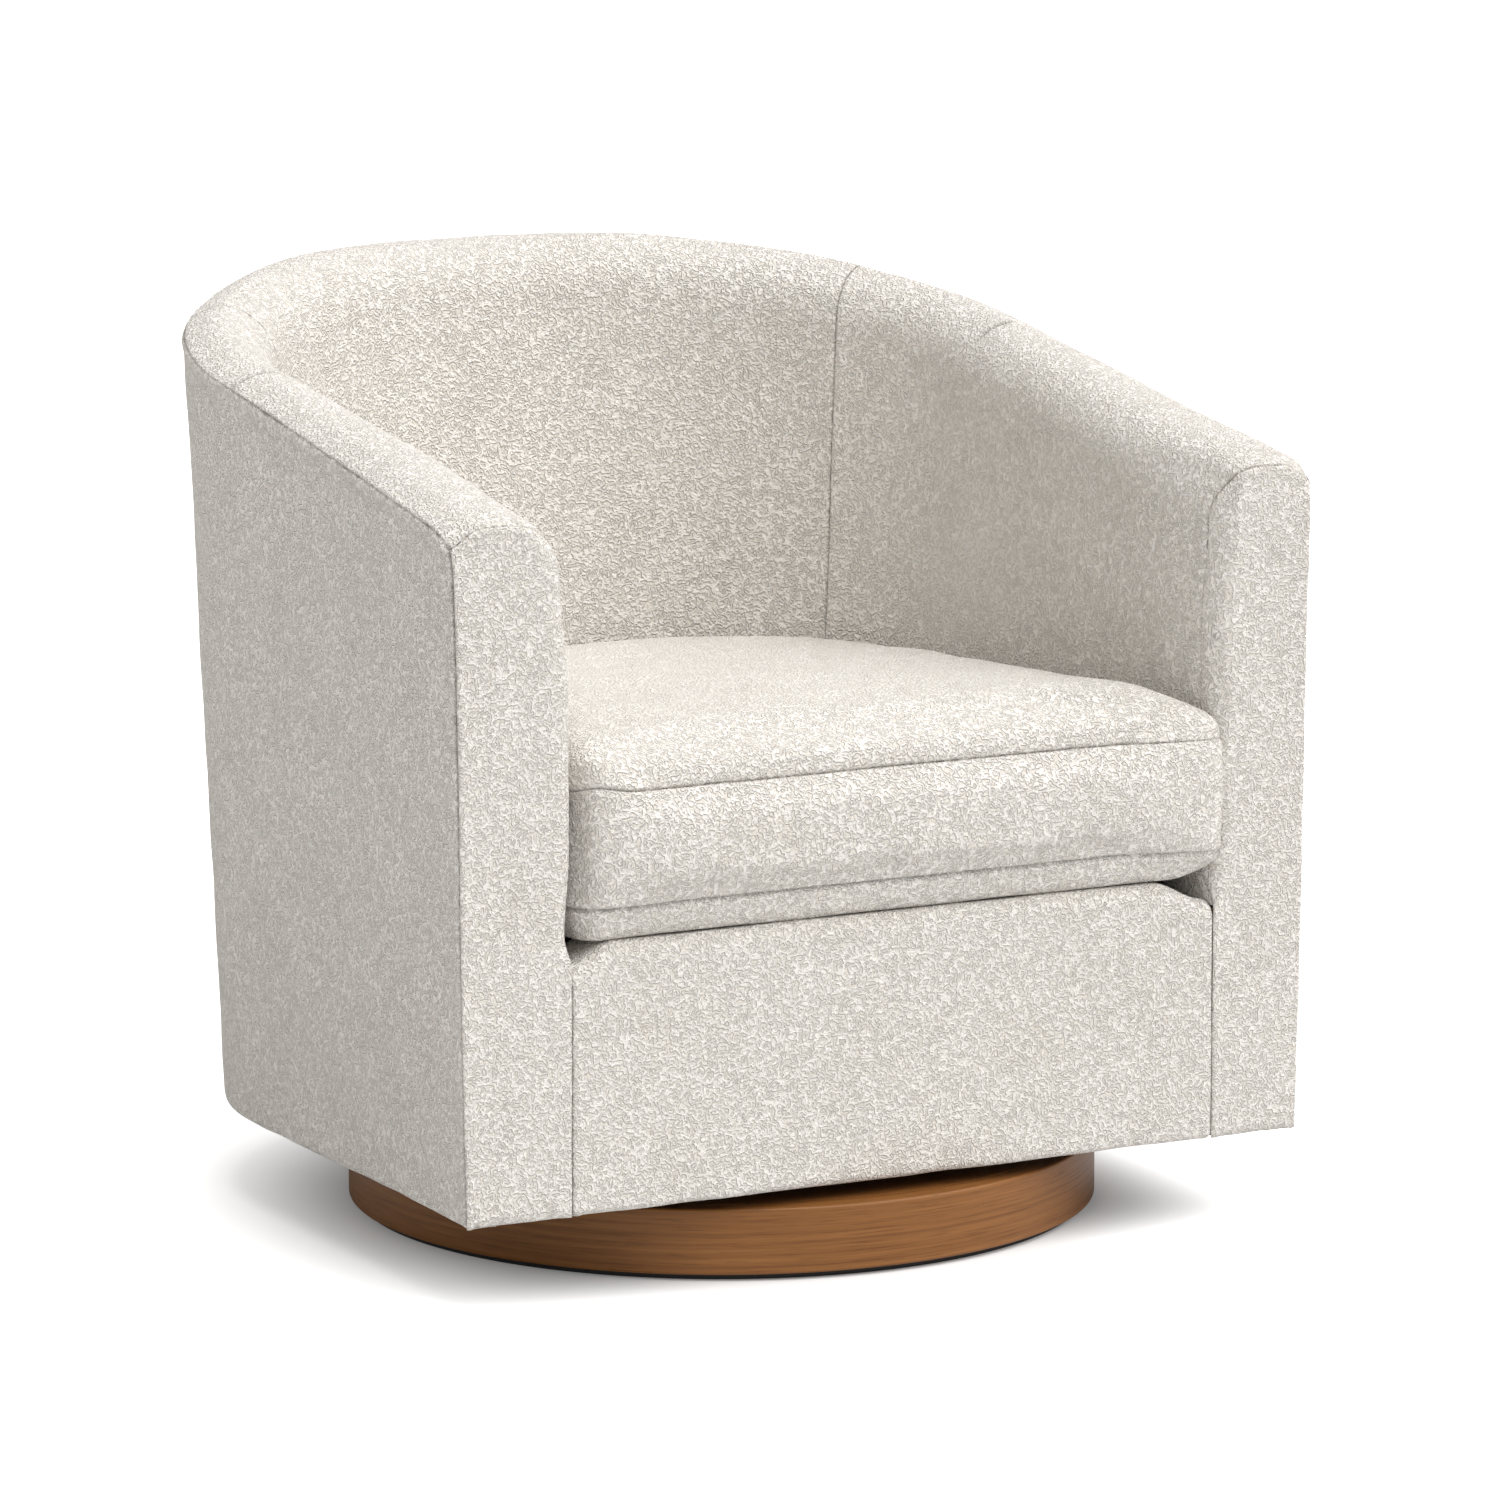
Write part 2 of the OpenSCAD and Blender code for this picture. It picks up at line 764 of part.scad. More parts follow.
// Side profile of a rail layer, inset from its finished surface: front, rounded edge, top
function rail_edge(inset, low_z) =
  let (r = rail_round_r - inset, cy = front_y + rail_round_r, cz = deck_at(cy) - rail_round_r)
  concat(
    [[front_y + inset, low_z]],
    [for (a = [180 : -15 : 90]) [cy + r * cos(a), cz + r * sin(a)]],
    [[front_y + rail_top_depth, deck_at(front_y + rail_top_depth) - inset]]
  );

module rail_layer(points, half_w) {
  rotate([90, 0, 90]) translate([0, 0, -half_w]) linear_extrude(2 * half_w) polygon(points);
}

module front_rail_cover() {
  color(fabric_col) rail_layer(
    concat(rail_edge(0, body_z), reversed(rail_edge(fabric_t, body_z))), rail_half_w);
}

// Thickness left for the foam's lower step over the front rail
rail_foam_t = 9.5;

module front_rail_foam() {
  inset = fabric_t + layer_gap;
  under_z = front_rail_z + front_rail_h + rail_foam_t;
  sheet_y = inner_front_y - layer_gap;
  color(foam_col) rail_layer(concat(rail_edge(inset, frame_z),
    [[front_y + rail_top_depth, under_z], [sheet_y, under_z], [sheet_y, frame_z]]),
    rail_half_w - layer_gap);
}

// ---- Tub covers ----

module outside_cover() {
  color(fabric_col) wall_sweep(-1, 1, cover_front_y, function(v)
    [[0, body_z], [0, seam_z(v) - panel_drop], [fabric_t, seam_z(v) - panel_drop],
     [fabric_t, body_z]]);
}

module padded_cover(from, to, low_z) {
  color(fabric_col) wall_sweep(from, to, cover_front_y, function(v)
    concat(padded_edge(v, 0, low_z), reversed(padded_edge(v, fabric_t, low_z))), thin = true);
}

module arm_cover_left() {
  padded_cover(-1, -seam_v - gap_v, arm_cover_low_z);
}

module arm_cover_right() {
  padded_cover(seam_v + gap_v, 1, arm_cover_low_z);
}

module inside_back_cover() {
  end_v = seam_v - gap_v;
  padded_cover(-end_v, end_v, back_foam_low_z);
}

module arm_front_cover_left() {
  color(fabric_col) arm_slice(-1, 0, front_y, front_y + fabric_t, body_z);
}

module arm_front_cover_right() {
  color(fabric_col) arm_slice(1, 0, front_y, front_y + fabric_t, body_z);
}

// ---- Seat cushion ----

cushion_gap = 1.6;
cushion_lift = 0.5;
cushion_front_y = front_y - cushion_proud;
cushion_side_y = 100;
cushion_zip_h = 14;
zip_off = 0.2;
zip_t = 0.6;

// One ring of the cushion: inset from its side walls, at a height above the deck
function cushion_ring(inset, h) =
  let (r = max(cushion_corner_r - inset / 2, 6),
       y0 = cushion_front_y + inset,
       side_start = y0 + r,
       stretch = (cushion_side_y - side_start) / (cushion_side_y - front_y),
       walls = [for (v = grid)
         let (z = deck_at(wall_point(v, back_t, deck_z, front_y).y) + h,
              p = wall_point(v, wall_t(v, z) + cushion_gap + inset, z, front_y))
         [p.x, p.y < cushion_side_y
           ? cushion_side_y - (cushion_side_y - p.y) * stretch : p.y]],
       x = walls[len(walls) - 1].x,
       right = [for (a = [-15 : -15 : -90]) [x - r + r * cos(a), side_start + r * sin(a)]],
       left = [for (a = [-90 : -15 : -165]) [-x + r + r * cos(a), side_start + r * sin(a)]])
  [for (p = concat(walls, right, left)) [p.x, p.y, deck_at(p.y) + h]];

// Crown of the cushion's top from the upper boxing seam, inset by a skin's thickness
crown_depth = 150;
function cushion_top(skin) = [
  for (a = [0 : 15 : 90])
    cushion_ring(skin + crown_depth * (1 - cos(a)) * (1 - cos(a)),
      cushion_seam_h - (a == 0 ? 0 : skin) + cushion_crown * sin(a))
];

// Rounded bottom of the cushion from the lower boxing seam down
function cushion_bottom(skin) =
  let (r = cushion_low_seam_h - cushion_lift)
  [for (a = [0 : 22.5 : 90])
    cushion_ring(skin + (r / 2) * (1 - cos(a)),
      cushion_low_seam_h + (a == 0 ? 0 : skin) - r * sin(a))];

module cushion_foam() {
  skin = fabric_t + layer_gap;
  color(foam_col) loft(concat(reversed(cushion_bottom(skin)), cushion_top(skin)));
}

module cushion_top_panel() {
  color(fabric_col) dome_skin(cushion_top(0), cushion_top(fabric_t));
}

module cushion_bottom_panel() {
  color(fabric_col) dome_skin(cushion_bottom(0), cushion_bottom(fabric_t));
}

module cushion_boxing() {
  low = cushion_low_seam_h + layer_gap;
  high = cushion_seam_h - layer_gap;
  color(fabric_col) closed_loft([cushion_ring(0, low), cushion_ring(0, high),
    cushion_ring(fabric_t, high), cushion_ring(fabric_t, low)]);
}

// Zip tape along the middle of the boxing at the back
module cushion_zip() {
  mid = (cushion_low_seam_h + cushion_seam_h) / 2;
  first = side_steps + 6;
  last = len(grid) - 1 - first;
  low = cushion_ring(-zip_off, mid - cushion_zip_h / 2);
  high = cushion_ring(-zip_off, mid + cushion_zip_h / 2);
  low_out = cushion_ring(-zip_off - zip_t, mid - cushion_zip_h / 2);
  high_out = cushion_ring(-zip_off - zip_t, mid + cushion_zip_h / 2);
  color(lining_col) loft([for (i = [first : last]) [low_out[i], high_out[i], high[i], low[i]]]);
}

floor_ring();
plinth_rim();
plinth_top();
plinth_brace_long();
plinth_brace_cross();
swivel_lower_plate();
lower_race();
lower_plate_screws();
ball_cage();
bearing_balls();
swivel_upper_plate();
upper_race();
centre_rivet();
upper_plate_screws();
swivel_rails();
bottom_frame();
dust_cover();
front_post_left();
front_post_right();
rear_post_left();
rear_post_right();
back_uprights();
front_rail();
side_rail_left();
side_rail_right();
back_rail();
arm_top_rail_left();
arm_top_rail_right();
back_top_rail();
corner_blocks();
seat_springs();
spring_clips();
deck_pad();
deck_cloth();
outside_board_left();
outside_board_right();
outside_board_back();
arm_foam_left();
arm_foam_right();
back_foam();
arm_front_pad_left();
arm_front_pad_right();
front_rail_foam();
outside_cover();
arm_cover_left();
arm_cover_right();
inside_back_cover();
arm_front_cover_left();
arm_front_cover_right();
front_rail_cover();
cushion_foam();
cushion_top_panel();
cushion_boxing();
cushion_bottom_panel();
cushion_zip();
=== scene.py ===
"""Looks for the swivel tub armchair: upholstery, veneer, studio and camera round the CAD frame.

Shapes are worked out in millimetres with the same wall functions as the CAD source and turned
into metres when a mesh is made. Front of the chair: -Y. Up: +Z.
"""
import json
import math

import bmesh
import bpy
import numpy as np
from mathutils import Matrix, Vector, kdtree


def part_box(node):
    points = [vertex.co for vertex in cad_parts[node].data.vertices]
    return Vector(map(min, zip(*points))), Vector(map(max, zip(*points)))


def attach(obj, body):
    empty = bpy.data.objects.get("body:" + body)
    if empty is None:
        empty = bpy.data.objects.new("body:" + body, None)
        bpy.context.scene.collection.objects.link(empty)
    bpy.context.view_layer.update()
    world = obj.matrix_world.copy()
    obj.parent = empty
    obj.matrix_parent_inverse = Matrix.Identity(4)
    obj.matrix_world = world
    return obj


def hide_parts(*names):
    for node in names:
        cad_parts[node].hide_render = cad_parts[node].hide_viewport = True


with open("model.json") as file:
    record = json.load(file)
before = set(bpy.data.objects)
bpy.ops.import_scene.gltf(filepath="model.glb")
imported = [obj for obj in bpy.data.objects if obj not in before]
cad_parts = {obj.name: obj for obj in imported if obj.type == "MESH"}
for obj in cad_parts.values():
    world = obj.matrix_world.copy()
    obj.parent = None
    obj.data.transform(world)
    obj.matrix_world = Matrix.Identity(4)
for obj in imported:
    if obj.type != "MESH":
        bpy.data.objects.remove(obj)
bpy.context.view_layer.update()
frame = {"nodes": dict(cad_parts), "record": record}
MM = 0.001

# ---- Sizes shared with the CAD source, in millimetres ----

TOP_FRONT_W, TOP_REAR_W = 757.0, 738.0
BOTTOM_FRONT_W, BOTTOM_REAR_W = 733.0, 714.0
FRONT_Y = -280.0
BACK_TOP_D, BACK_BOTTOM_D = 500.0, 423.0
TOP_CORNER_Y, BOTTOM_CORNER_Y = 152.0, 117.0
TOP_POWER, BOTTOM_POWER = 1.85, 2.0
BODY_Z, ARM_Z = 69.0, 594.0
SEAM_RISE, LEVEL_Y = 0.16, 420.0
CROWN_H, CROWN_IN = 12.0, 32.0
ARM_T, CORNER_T, BACK_T = 84.0, 105.0, 132.0
TAPER_Z, WALL_TAPER = 380.0, 0.126
ROLL_R = 46.0
CURVE_V, SEAM_V = 0.5, 1 / 3
ARM_LOW_Z, BACK_LOW_Z = 256.0, 240.0
DECK_Z, DECK_FALL = 278.0, 0.042
CUSHION_FRONT_Y, CUSHION_SIDE_Y = -286.0, 100.0
CUSHION_CORNER_R, CUSHION_GAP = 24.0, 1.6
CUSHION_SEAM_H, CUSHION_LOW_SEAM_H = 114.0, 26.0
CUSHION_CROWN, CROWN_DEPTH = 38.0, 150.0
DECK_FRONT_Y, DECK_CORNER_R, DECK_GAP = -221.0, 8.0, 2.0
DECK_T, DECK_LOW_R, DECK_TOP_R, DECK_SAG = 15.6, 3.0, 6.0, 4.0
SPRING_PITCH = 72.0
ZIP_HALF_L, ZIP_H, ZIP_OUT, ZIP_TEETH, ZIP_TEETH_T = 177.0, 14.0, 0.8, 110, 1.2
LINING_IN, LINING_Z, LINING_HOLE = 4.0, 70.6, 143.0
SIDE_RUN = 2 * (TOP_CORNER_Y - FRONT_Y)  # top seam length for each unit of station on an arm

# ---- Sizes of the pieces made here, in millimetres, and their names ----

SIDE_NAMES = {-1: "left", 1: "right"}
PAD_T = 9.0  # thickness of the skins on the arms and back
CROWN_RUN, ROLL_ROWS, FACE_ROWS = 34.0, 18, 84
EVEN_FROM, EVEN_PASSES = 14, 10  # the row where a profile is evened out from, and how often
FACE_TOP_Z = 560.0
CROSS_SEAM_Y = 123.0
PANEL_H, PANEL_END, PANEL_UNDER, PANEL_T = 560.0, 2.5, 26.0, 2.4
RAIL_LOW_R, RAIL_TOP_R, RAIL_BACK = 6.0, 13.0, 54.0
RAIL_END_X, RAIL_END_DROP, RAIL_T = 238.0, 17.0, 7.0
LINING_T, LINING_SAG = 0.8, 1.3
PLINTH_SECTION_W = 18.0
PLINTH_R_M = 0.299  # metres
CUSHION_MIDDLE, HALF_CUSHION_H = (0.0, 60.0), 75.0
BOXING_PUFF, BOXING_PRESSED = 2.6, 5.0
BULGE_OUT, BULGE_FORWARD, BULGE_DOWN, BULGE_TOP_DOWN = 20.0, 4.0, 3.5, 5.0
SEAM_LIFT_LEFT, SEAM_LIFT_RIGHT = 5.0, 2.0
SIM_SHRINK, SIM_CAP, SIM_FRAMES = 2.5, 7.0, 18

# An arm front's rings: points along each edge, how far in they reach, and where each ring lies
OUTER_N, CROWN_N, ROLL_N, INNER_N, BOTTOM_N = 112, 12, 20, 104, 24
FRONT_REACH, FRONT_MIDDLE = 22.0, (TOP_FRONT_W / 2 - 45, 330)
FRONT_PATHS = (0, 0.015, 0.035, 0.06, 0.09, 0.125, 0.17, 0.22, 0.28, 0.345, 0.42, 0.5, 0.59, 0.69,
               0.8, 0.9, 1.0)
FRONT_PAD_BACK, FRONT_PAD_IN = 4.0, 0.06

# How far the upholstery has settled, at most
ROLL_BACK, LEAN, LEAN_LEFT, EDGE_DRAW = 7.0, 5.5, 5.0, 4.5
CORNER_BACK, CORNER_DOWN, TOP_EDGE_DOWN = 3.0, 3.2, 5.0

# How the panels meet
TUCK_W, TUCK_DEPTH = 2.4, 2.5
ARM_BACK_TUCK, RAIL_TUCK = 1.8, 1.7
FRONT_SEAM_TOP = 3.0  # how far behind the arm's front plane its seam runs on top
PITCH = 4.4
FINE = [0, 0.4, 0.9, 1.5, 2.2, 3.1, 4.4, 6.2, 8.6, 11.6, 15.2]


# ---- Wall functions, the same as in the CAD source ----

def smooth(x):
    """0 up to 0 and 1 from 1, so smooth((x - start) / width) rises from start over width."""
    x = np.clip(x, 0, 1)
    return x * x * (3 - 2 * x)


def outline(v, front_w, rear_w, corner_y, back_y, power):
    k = np.abs(v)
    s = np.clip((1 - k) / (1 - CURVE_V), 0, 1)
    t = np.pi / 2 * np.clip(1 - k / CURVE_V, 0, 1)
    cos_t, sin_t = np.maximum(np.cos(t), 0), np.sin(t)
    side_x = (front_w + (rear_w - front_w) * np.sin(np.pi / 2 * s)) / 2
    arc_x = rear_w / 2 * cos_t ** (2 / power)
    arc_y = corner_y + (back_y - corner_y) * sin_t ** (2 / power)
    on_side = k >= CURVE_V
    x = np.sign(v) * np.where(on_side, side_x, arc_x)
    return x, np.where(on_side, FRONT_Y + (corner_y - FRONT_Y) * s, arc_y)


def top_point(v):
    return outline(v, TOP_FRONT_W, TOP_REAR_W, TOP_CORNER_Y, BACK_TOP_D, TOP_POWER)


def bottom_point(v):
    return outline(v, BOTTOM_FRONT_W, BOTTOM_REAR_W, BOTTOM_CORNER_Y, BACK_BOTTOM_D, BOTTOM_POWER)


def seam_z(v):
    y = top_point(v)[1]
    over, run = np.maximum(y - LEVEL_Y, 0), BACK_TOP_D - LEVEL_Y
    return ARM_Z + SEAM_RISE * (np.minimum(y, LEVEL_Y) - FRONT_Y + over - over * over / (2 * run))


def inward(v):
    t = np.pi / 2 * np.clip(1 - np.abs(v) / CURVE_V, 0, 1)
    q = 2 * (TOP_POWER - 1) / TOP_POWER
    nx = np.maximum(np.cos(t), 0) ** q / (TOP_REAR_W / 2)
    ny = np.sin(t) ** q / (BACK_TOP_D - TOP_CORNER_Y)
    size = np.hypot(nx, ny)
    on_side = np.abs(v) >= CURVE_V
    return -np.sign(v) * np.where(on_side, 1, nx / size), np.where(on_side, 0, -ny / size)


def height_share(v, z):
    return (z - BODY_Z) / (seam_z(v) - BODY_Z)


def wall(v, depth, z):
    """Points of the wall at stations v, depths in from the outer face and heights z."""
    v, depth, z = np.broadcast_arrays(np.asarray(v, float), depth, z)
    (bx, by), (tx, ty), (nx, ny) = bottom_point(v), top_point(v), inward(v)
    share = height_share(v, z)
    x = bx + (tx - bx) * share + nx * depth
    return np.stack([x, by + (ty - by) * share + ny * depth, z], -1)


def wall_t(v, z):
    k = np.abs(v)
    over = WALL_TAPER * np.maximum(z - TAPER_Z, 0)
    front = ARM_T + (TOP_FRONT_W - BOTTOM_FRONT_W) / 2 * height_share(v, z)
    corner, middle = CORNER_T - over, BACK_T - over
    to_front = front + (corner - front) * smooth((1 - k) / (1 - SEAM_V))
    to_middle = corner + (middle - corner) * smooth((SEAM_V - k) / SEAM_V)
    return np.where(k >= SEAM_V, to_front, to_middle)


def deck_at(y):
    return DECK_Z - DECK_FALL * (y - FRONT_Y)


# ---- Numeric helpers ----

def spaced(length, pitch=PITCH, start=True, end=True, near=()):
    """Distances from 0 to length, 4n + 1 of them: close together at seams, else pitch apart."""
    at = set(np.arange(0, length, pitch)) | {length}
    marks = ([0.0] if start else []) + ([length] if end else []) + list(near)
    reach = FINE[-1] + pitch * 0.6
    at = {a for a in at if all(abs(a - m) > reach for m in marks)}
    for m in marks:
        at |= {m + f for f in FINE if m + f <= length} | {m - f for f in FINE if m - f >= 0}
    at = sorted(at | {0.0, length})
    at = [a for i, a in enumerate(at) if i == 0 or a - at[i - 1] > 0.25]
    at[-1] = length
    while (len(at) - 1) % 4:
        gaps = np.diff(at)
        i = int(np.argmax(gaps))
        at.insert(i + 1, (at[i] + at[i + 1]) / 2)
    return np.array(at)


def stations(first, last, **kw):
    """Stations between two places, spaced by their distance along the top seam."""
    dense = np.linspace(first, last, 4001)
    x, y = top_point(dense)
    run = np.concatenate([[0], np.cumsum(np.hypot(np.diff(x), np.diff(y)))])
    near = [np.interp(v, dense, run) for v in kw.pop("near_v", ())]
    return np.interp(spaced(run[-1], near=near, **kw), run, dense)


def normals(p):
    du, dv = np.gradient(p, axis=0), np.gradient(p, axis=1)
    n = np.cross(du, dv)
    return n / np.maximum(np.linalg.norm(n, axis=-1, keepdims=True), 1e-12)


def runs(p, axis):
    """Distance of every grid point from the grid's first row, and from its last, along an axis."""
    step = np.linalg.norm(np.diff(p, axis=axis), axis=-1)
    pad = [(0, 0), (0, 0)]
    pad[axis] = (1, 0)
    from_start = np.cumsum(np.pad(step, pad), axis=axis)
    total = np.take(from_start, [-1], axis=axis)
    return from_start, total - from_start


class Waves:
    """Smooth isotropic noise of one size, made of seeded plane waves."""

    def __init__(self, size, seed, count=28):
        rng = np.random.default_rng(seed)
        way = rng.normal(size=(count, 3))
        way /= np.linalg.norm(way, axis=1, keepdims=True)
        self.k = way * (2 * np.pi / (size * rng.uniform(0.75, 1.35, (count, 1))))
        self.phase = rng.uniform(0, 2 * np.pi, count)

    def __call__(self, p):
        flat = p.reshape(-1, 3)
        total = sum(np.cos(flat @ k + f) for k, f in zip(self.k, self.phase))
        return (total * math.sqrt(2 / len(self.phase))).reshape(p.shape[:-1])


swell, ripple, pucker = Waves(170, 3), Waves(52, 5), Waves(9, 8)


def seam(d, depth=TUCK_DEPTH, width=TUCK_W, ridge=0.5, at=5.2, spread=3.4):
    """Height of fabric at distance d from a seam: it rises over the allowance, then dives in."""
    t = np.clip(1 - d / width, 0, 1)
    return ridge * np.exp(-(((d - at) / spread) ** 2)) - depth * (1 - np.sqrt(1 - t * t))


def fabric(p, borders=()):
    """Unevenness of stretched fabric: slow swells, faint ripples, and puckers beside its seams."""
    h = 0.45 * swell(p) + 0.16 * ripple(p)
    for d in borders:
        h = h + 0.26 * pucker(p) * np.exp(-d / 7) * (1 - np.exp(-d / 1.2))
    return h


def painted_seam_shade(p, *seams):
    """Painted shade beside the seams, where little light gets down between the panels: pairs of
    distance and strength, 0 to 1.
    """
    dark = np.zeros(p.shape[:-1])
    for d, strength in seams:
        dark = np.maximum(dark, strength * np.exp(-((d / 1.25) ** 2)))
    return dark * (0.8 + 0.2 * np.clip(pucker(p), -1, 1))


def with_back(marks, verts):
    """Painted seam shade for a shell: that of its front, and none on its back."""
    return np.concatenate([marks.ravel(), np.zeros(len(verts) - marks.size)])


# ---- Meshes ----

def placed(name, data):
    """A new object in the scene."""
    obj = bpy.data.objects.new(name, data)
    bpy.context.scene.collection.objects.link(obj)
    return obj


def link(name, verts_mm, faces, body, nodes, slot, marks=None):
    """A visible piece that rides on a body, takes the place of nodes and wears its slot's look."""
    mesh = bpy.data.meshes.new(name)
    mesh.from_pydata((np.asarray(verts_mm) * MM).tolist(), [], faces)
    mesh.validate()
    mesh.update()
    # marks is painted shade beside the seams, kept in the seam attribute, which darkens the boucle
    # there
    if marks is not None:
        layer = mesh.attributes.new("seam", "FLOAT", "POINT")
        layer.data.foreach_set("value", np.ascontiguousarray(marks, np.float32))
    obj = placed(name, mesh)
    mesh.shade_smooth()
    mesh.materials.append(MATERIALS[slot])
    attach(obj, body)
    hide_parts(*nodes)
    return obj


def grid_faces(rows, cols, base=0, flip=False):
    i = np.arange(rows * cols).reshape(rows, cols) + base
    quads = np.stack([i[:-1, :-1], i[:-1, 1:], i[1:, 1:], i[1:, :-1]], -1).reshape(-1, 4)
    return quads[:, ::-1] if flip else quads


def band(first, second, count):
    """Quads between two closed rings of count points, by the index that each ring starts at."""
    i = np.arange(count)
    j = (i + 1) % count
    return np.stack([first + i, first + j, second + j, second + i], -1)


def ring_faces(rings, count, joined=False):
    """Quads between neighbours in a stack of closed rings, with the last joined to the first."""
    pairs = range(rings if joined else rings - 1)
    return np.concatenate([band(k * count, (k + 1) % rings * count, count) for k in pairs])


def edge_loop(rows, cols):
    """Indices of a grid's border, once round."""
    i = np.arange(rows * cols).reshape(rows, cols)
    return np.concatenate([i[0, :-1], i[:-1, -1], i[-1, :0:-1], i[:0:-1, 0]])


def tree_of(points):
    tree = kdtree.KDTree(len(points))
    for i, p in enumerate(points):
        tree.insert(p, i)
    tree.balance()
    return tree


def shell(surface, base, into, thick):
    """A closed skin: the surface in front, and behind it a coarser copy of its base, thick mm in.
    into is a direction that points into the skin at the grid's middle."""
    rows, cols = surface.shape[:2]
    n = normals(base)
    flip = float(n[rows // 2, cols // 2] @ np.asarray(into, float)) < 0
    back = (base + (-n if flip else n) * thick)[::4, ::4]
    total = rows * cols
    faces = grid_faces(rows, cols, flip=flip).tolist()
    faces += grid_faces(*back.shape[:2], base=total, flip=not flip).tolist()
    fine, coarse = edge_loop(rows, cols), edge_loop(*back.shape[:2]) + total
    for k, a in enumerate(coarse):
        b = coarse[(k + 1) % len(coarse)]
        f = [fine[(4 * k + j) % len(fine)] for j in range(5)]
        strip = [(f[0], f[1], a), (f[1], f[2], a), (f[2], b, a), (f[2], f[3], b), (f[3], f[4], b)]
        faces += strip if flip else [s[::-1] for s in strip]
    return np.concatenate([surface.reshape(-1, 3), back.reshape(-1, 3)]), faces


def lifted(base, height, into):
    """The base moved by height along its normals, away from the direction into."""
    n = normals(base)
    if n[base.shape[0] // 2, base.shape[1] // 2] @ np.asarray(into, float) > 0:
        n = -n
    return base + n * height[..., None]


# ---- Materials ----

WHITE = (1.0, 1.0, 1.0)


class Nodes:
    """A short way to write the nodes of a material or a world."""

    def __init__(self, owner):
        owner.use_nodes = True
        self.owner, self.tree = owner, owner.node_tree
        self.tree.nodes.clear()

    def feed(self, socket, v):
        """Links a socket to the input, or sets the input to a value."""
        if isinstance(v, bpy.types.NodeSocket):
            self.tree.links.new(v, socket)
        else:
            socket.default_value = (*v, 1)[:4] if socket.type == "RGBA" else v

    def add(self, kind, inputs, **props):
        n = self.tree.nodes.new("ShaderNode" + kind)
        for k, v in props.items():
            setattr(n, k, v)
        for k, v in inputs.items():
            self.feed(n.inputs[k], v)
        return n

    def coords(self):
        return self.add("TexCoord", {}).outputs["Object"]

    def scaled(self, vector, scale):
        return self.add("Mapping", {"Vector": vector, "Scale": scale}).outputs[0]

    def math(self, op, a, b=0.0, c=0.0):
        return self.add("Math", {0: a, 1: b, 2: c}, operation=op).outputs[0]

    def noise(self, vector, scale, detail=2.0, rough=0.5, distortion=0.0):
        return self.add("TexNoise", {"Vector": vector, "Scale": scale, "Detail": detail,
                                     "Roughness": rough, "Distortion": distortion}).outputs[0]

    def ramp(self, fac, *stops):
        n = self.add("ValToRGB", {"Fac": fac})
        while len(n.color_ramp.elements) < len(stops):
            n.color_ramp.elements.new(0.5)
        for e, (pos, col) in zip(n.color_ramp.elements, stops):
            e.position, e.color = pos, (*col, 1)
        return n.outputs["Color"]

    def mix(self, fac, a, b, blend="MIX"):
        return self.add("Mix", {0: fac, 6: a, 7: b}, data_type="RGBA", blend_type=blend).outputs[2]

    def bump(self, height, distance, strength=1.0):
        return self.add("Bump", {"Height": height, "Distance": distance,
                                 "Strength": strength}).outputs[0]

    def surface(self, **inputs):
        """Ends a material with a principled shader that has these inputs."""
        shader = self.add("BsdfPrincipled", {k.replace("_", " "): v for k, v in inputs.items()})
        self.add("OutputMaterial", {"Surface": shader.outputs[0]})
        return self.owner


def new_material(name):
    return Nodes(bpy.data.materials.new(name))


def boucle_material():
    m = new_material("boucle_fabric")
    at = m.coords()
    # Strands follow the contours of a noise, so they wind about like boucle loops
    hills = m.noise(at, 300.0, 0.0, 0.5, 0.25)
    loops = m.math("MULTIPLY_ADD", m.math("SINE", m.math("MULTIPLY", hills, 14.0)), 0.5, 0.5)
    fibre = m.noise(at, 1300.0, 1.0, 0.6)
    patch = m.noise(at, 16.0, 1.0, 0.5)
    height = m.math("MULTIPLY_ADD", fibre, 0.35, loops)
    # The loops are darker where their height is low: tone along the yarn, and painted shade in the
    # hollows between the loops
    tone = m.ramp(loops, (0.0, (0.74, 0.690, 0.625)), (0.35, (0.835, 0.795, 0.740)),
                  (0.85, (0.865, 0.830, 0.785)))
    shade = m.ramp(patch, (0.3, (0.965, 0.96, 0.955)), (0.7, WHITE))
    colour = m.mix(1.0, tone, shade, "MULTIPLY")
    # Painted shade beside the seams: the mesh's seam attribute says how near a seam each point is,
    # and the fabric is darkened there, since little light gets down between the panels
    seam_shade_fac = m.add("Attribute", {}, attribute_name="seam").outputs["Fac"]
    colour = m.mix(m.math("MULTIPLY", seam_shade_fac, 0.8), colour, (0.13, 0.105, 0.08))
    return m.surface(Base_Color=colour, Roughness=0.92, Sheen_Weight=0.12, Sheen_Roughness=0.5,
                     Specular_IOR_Level=0.2, Normal=m.bump(height, 0.0018))


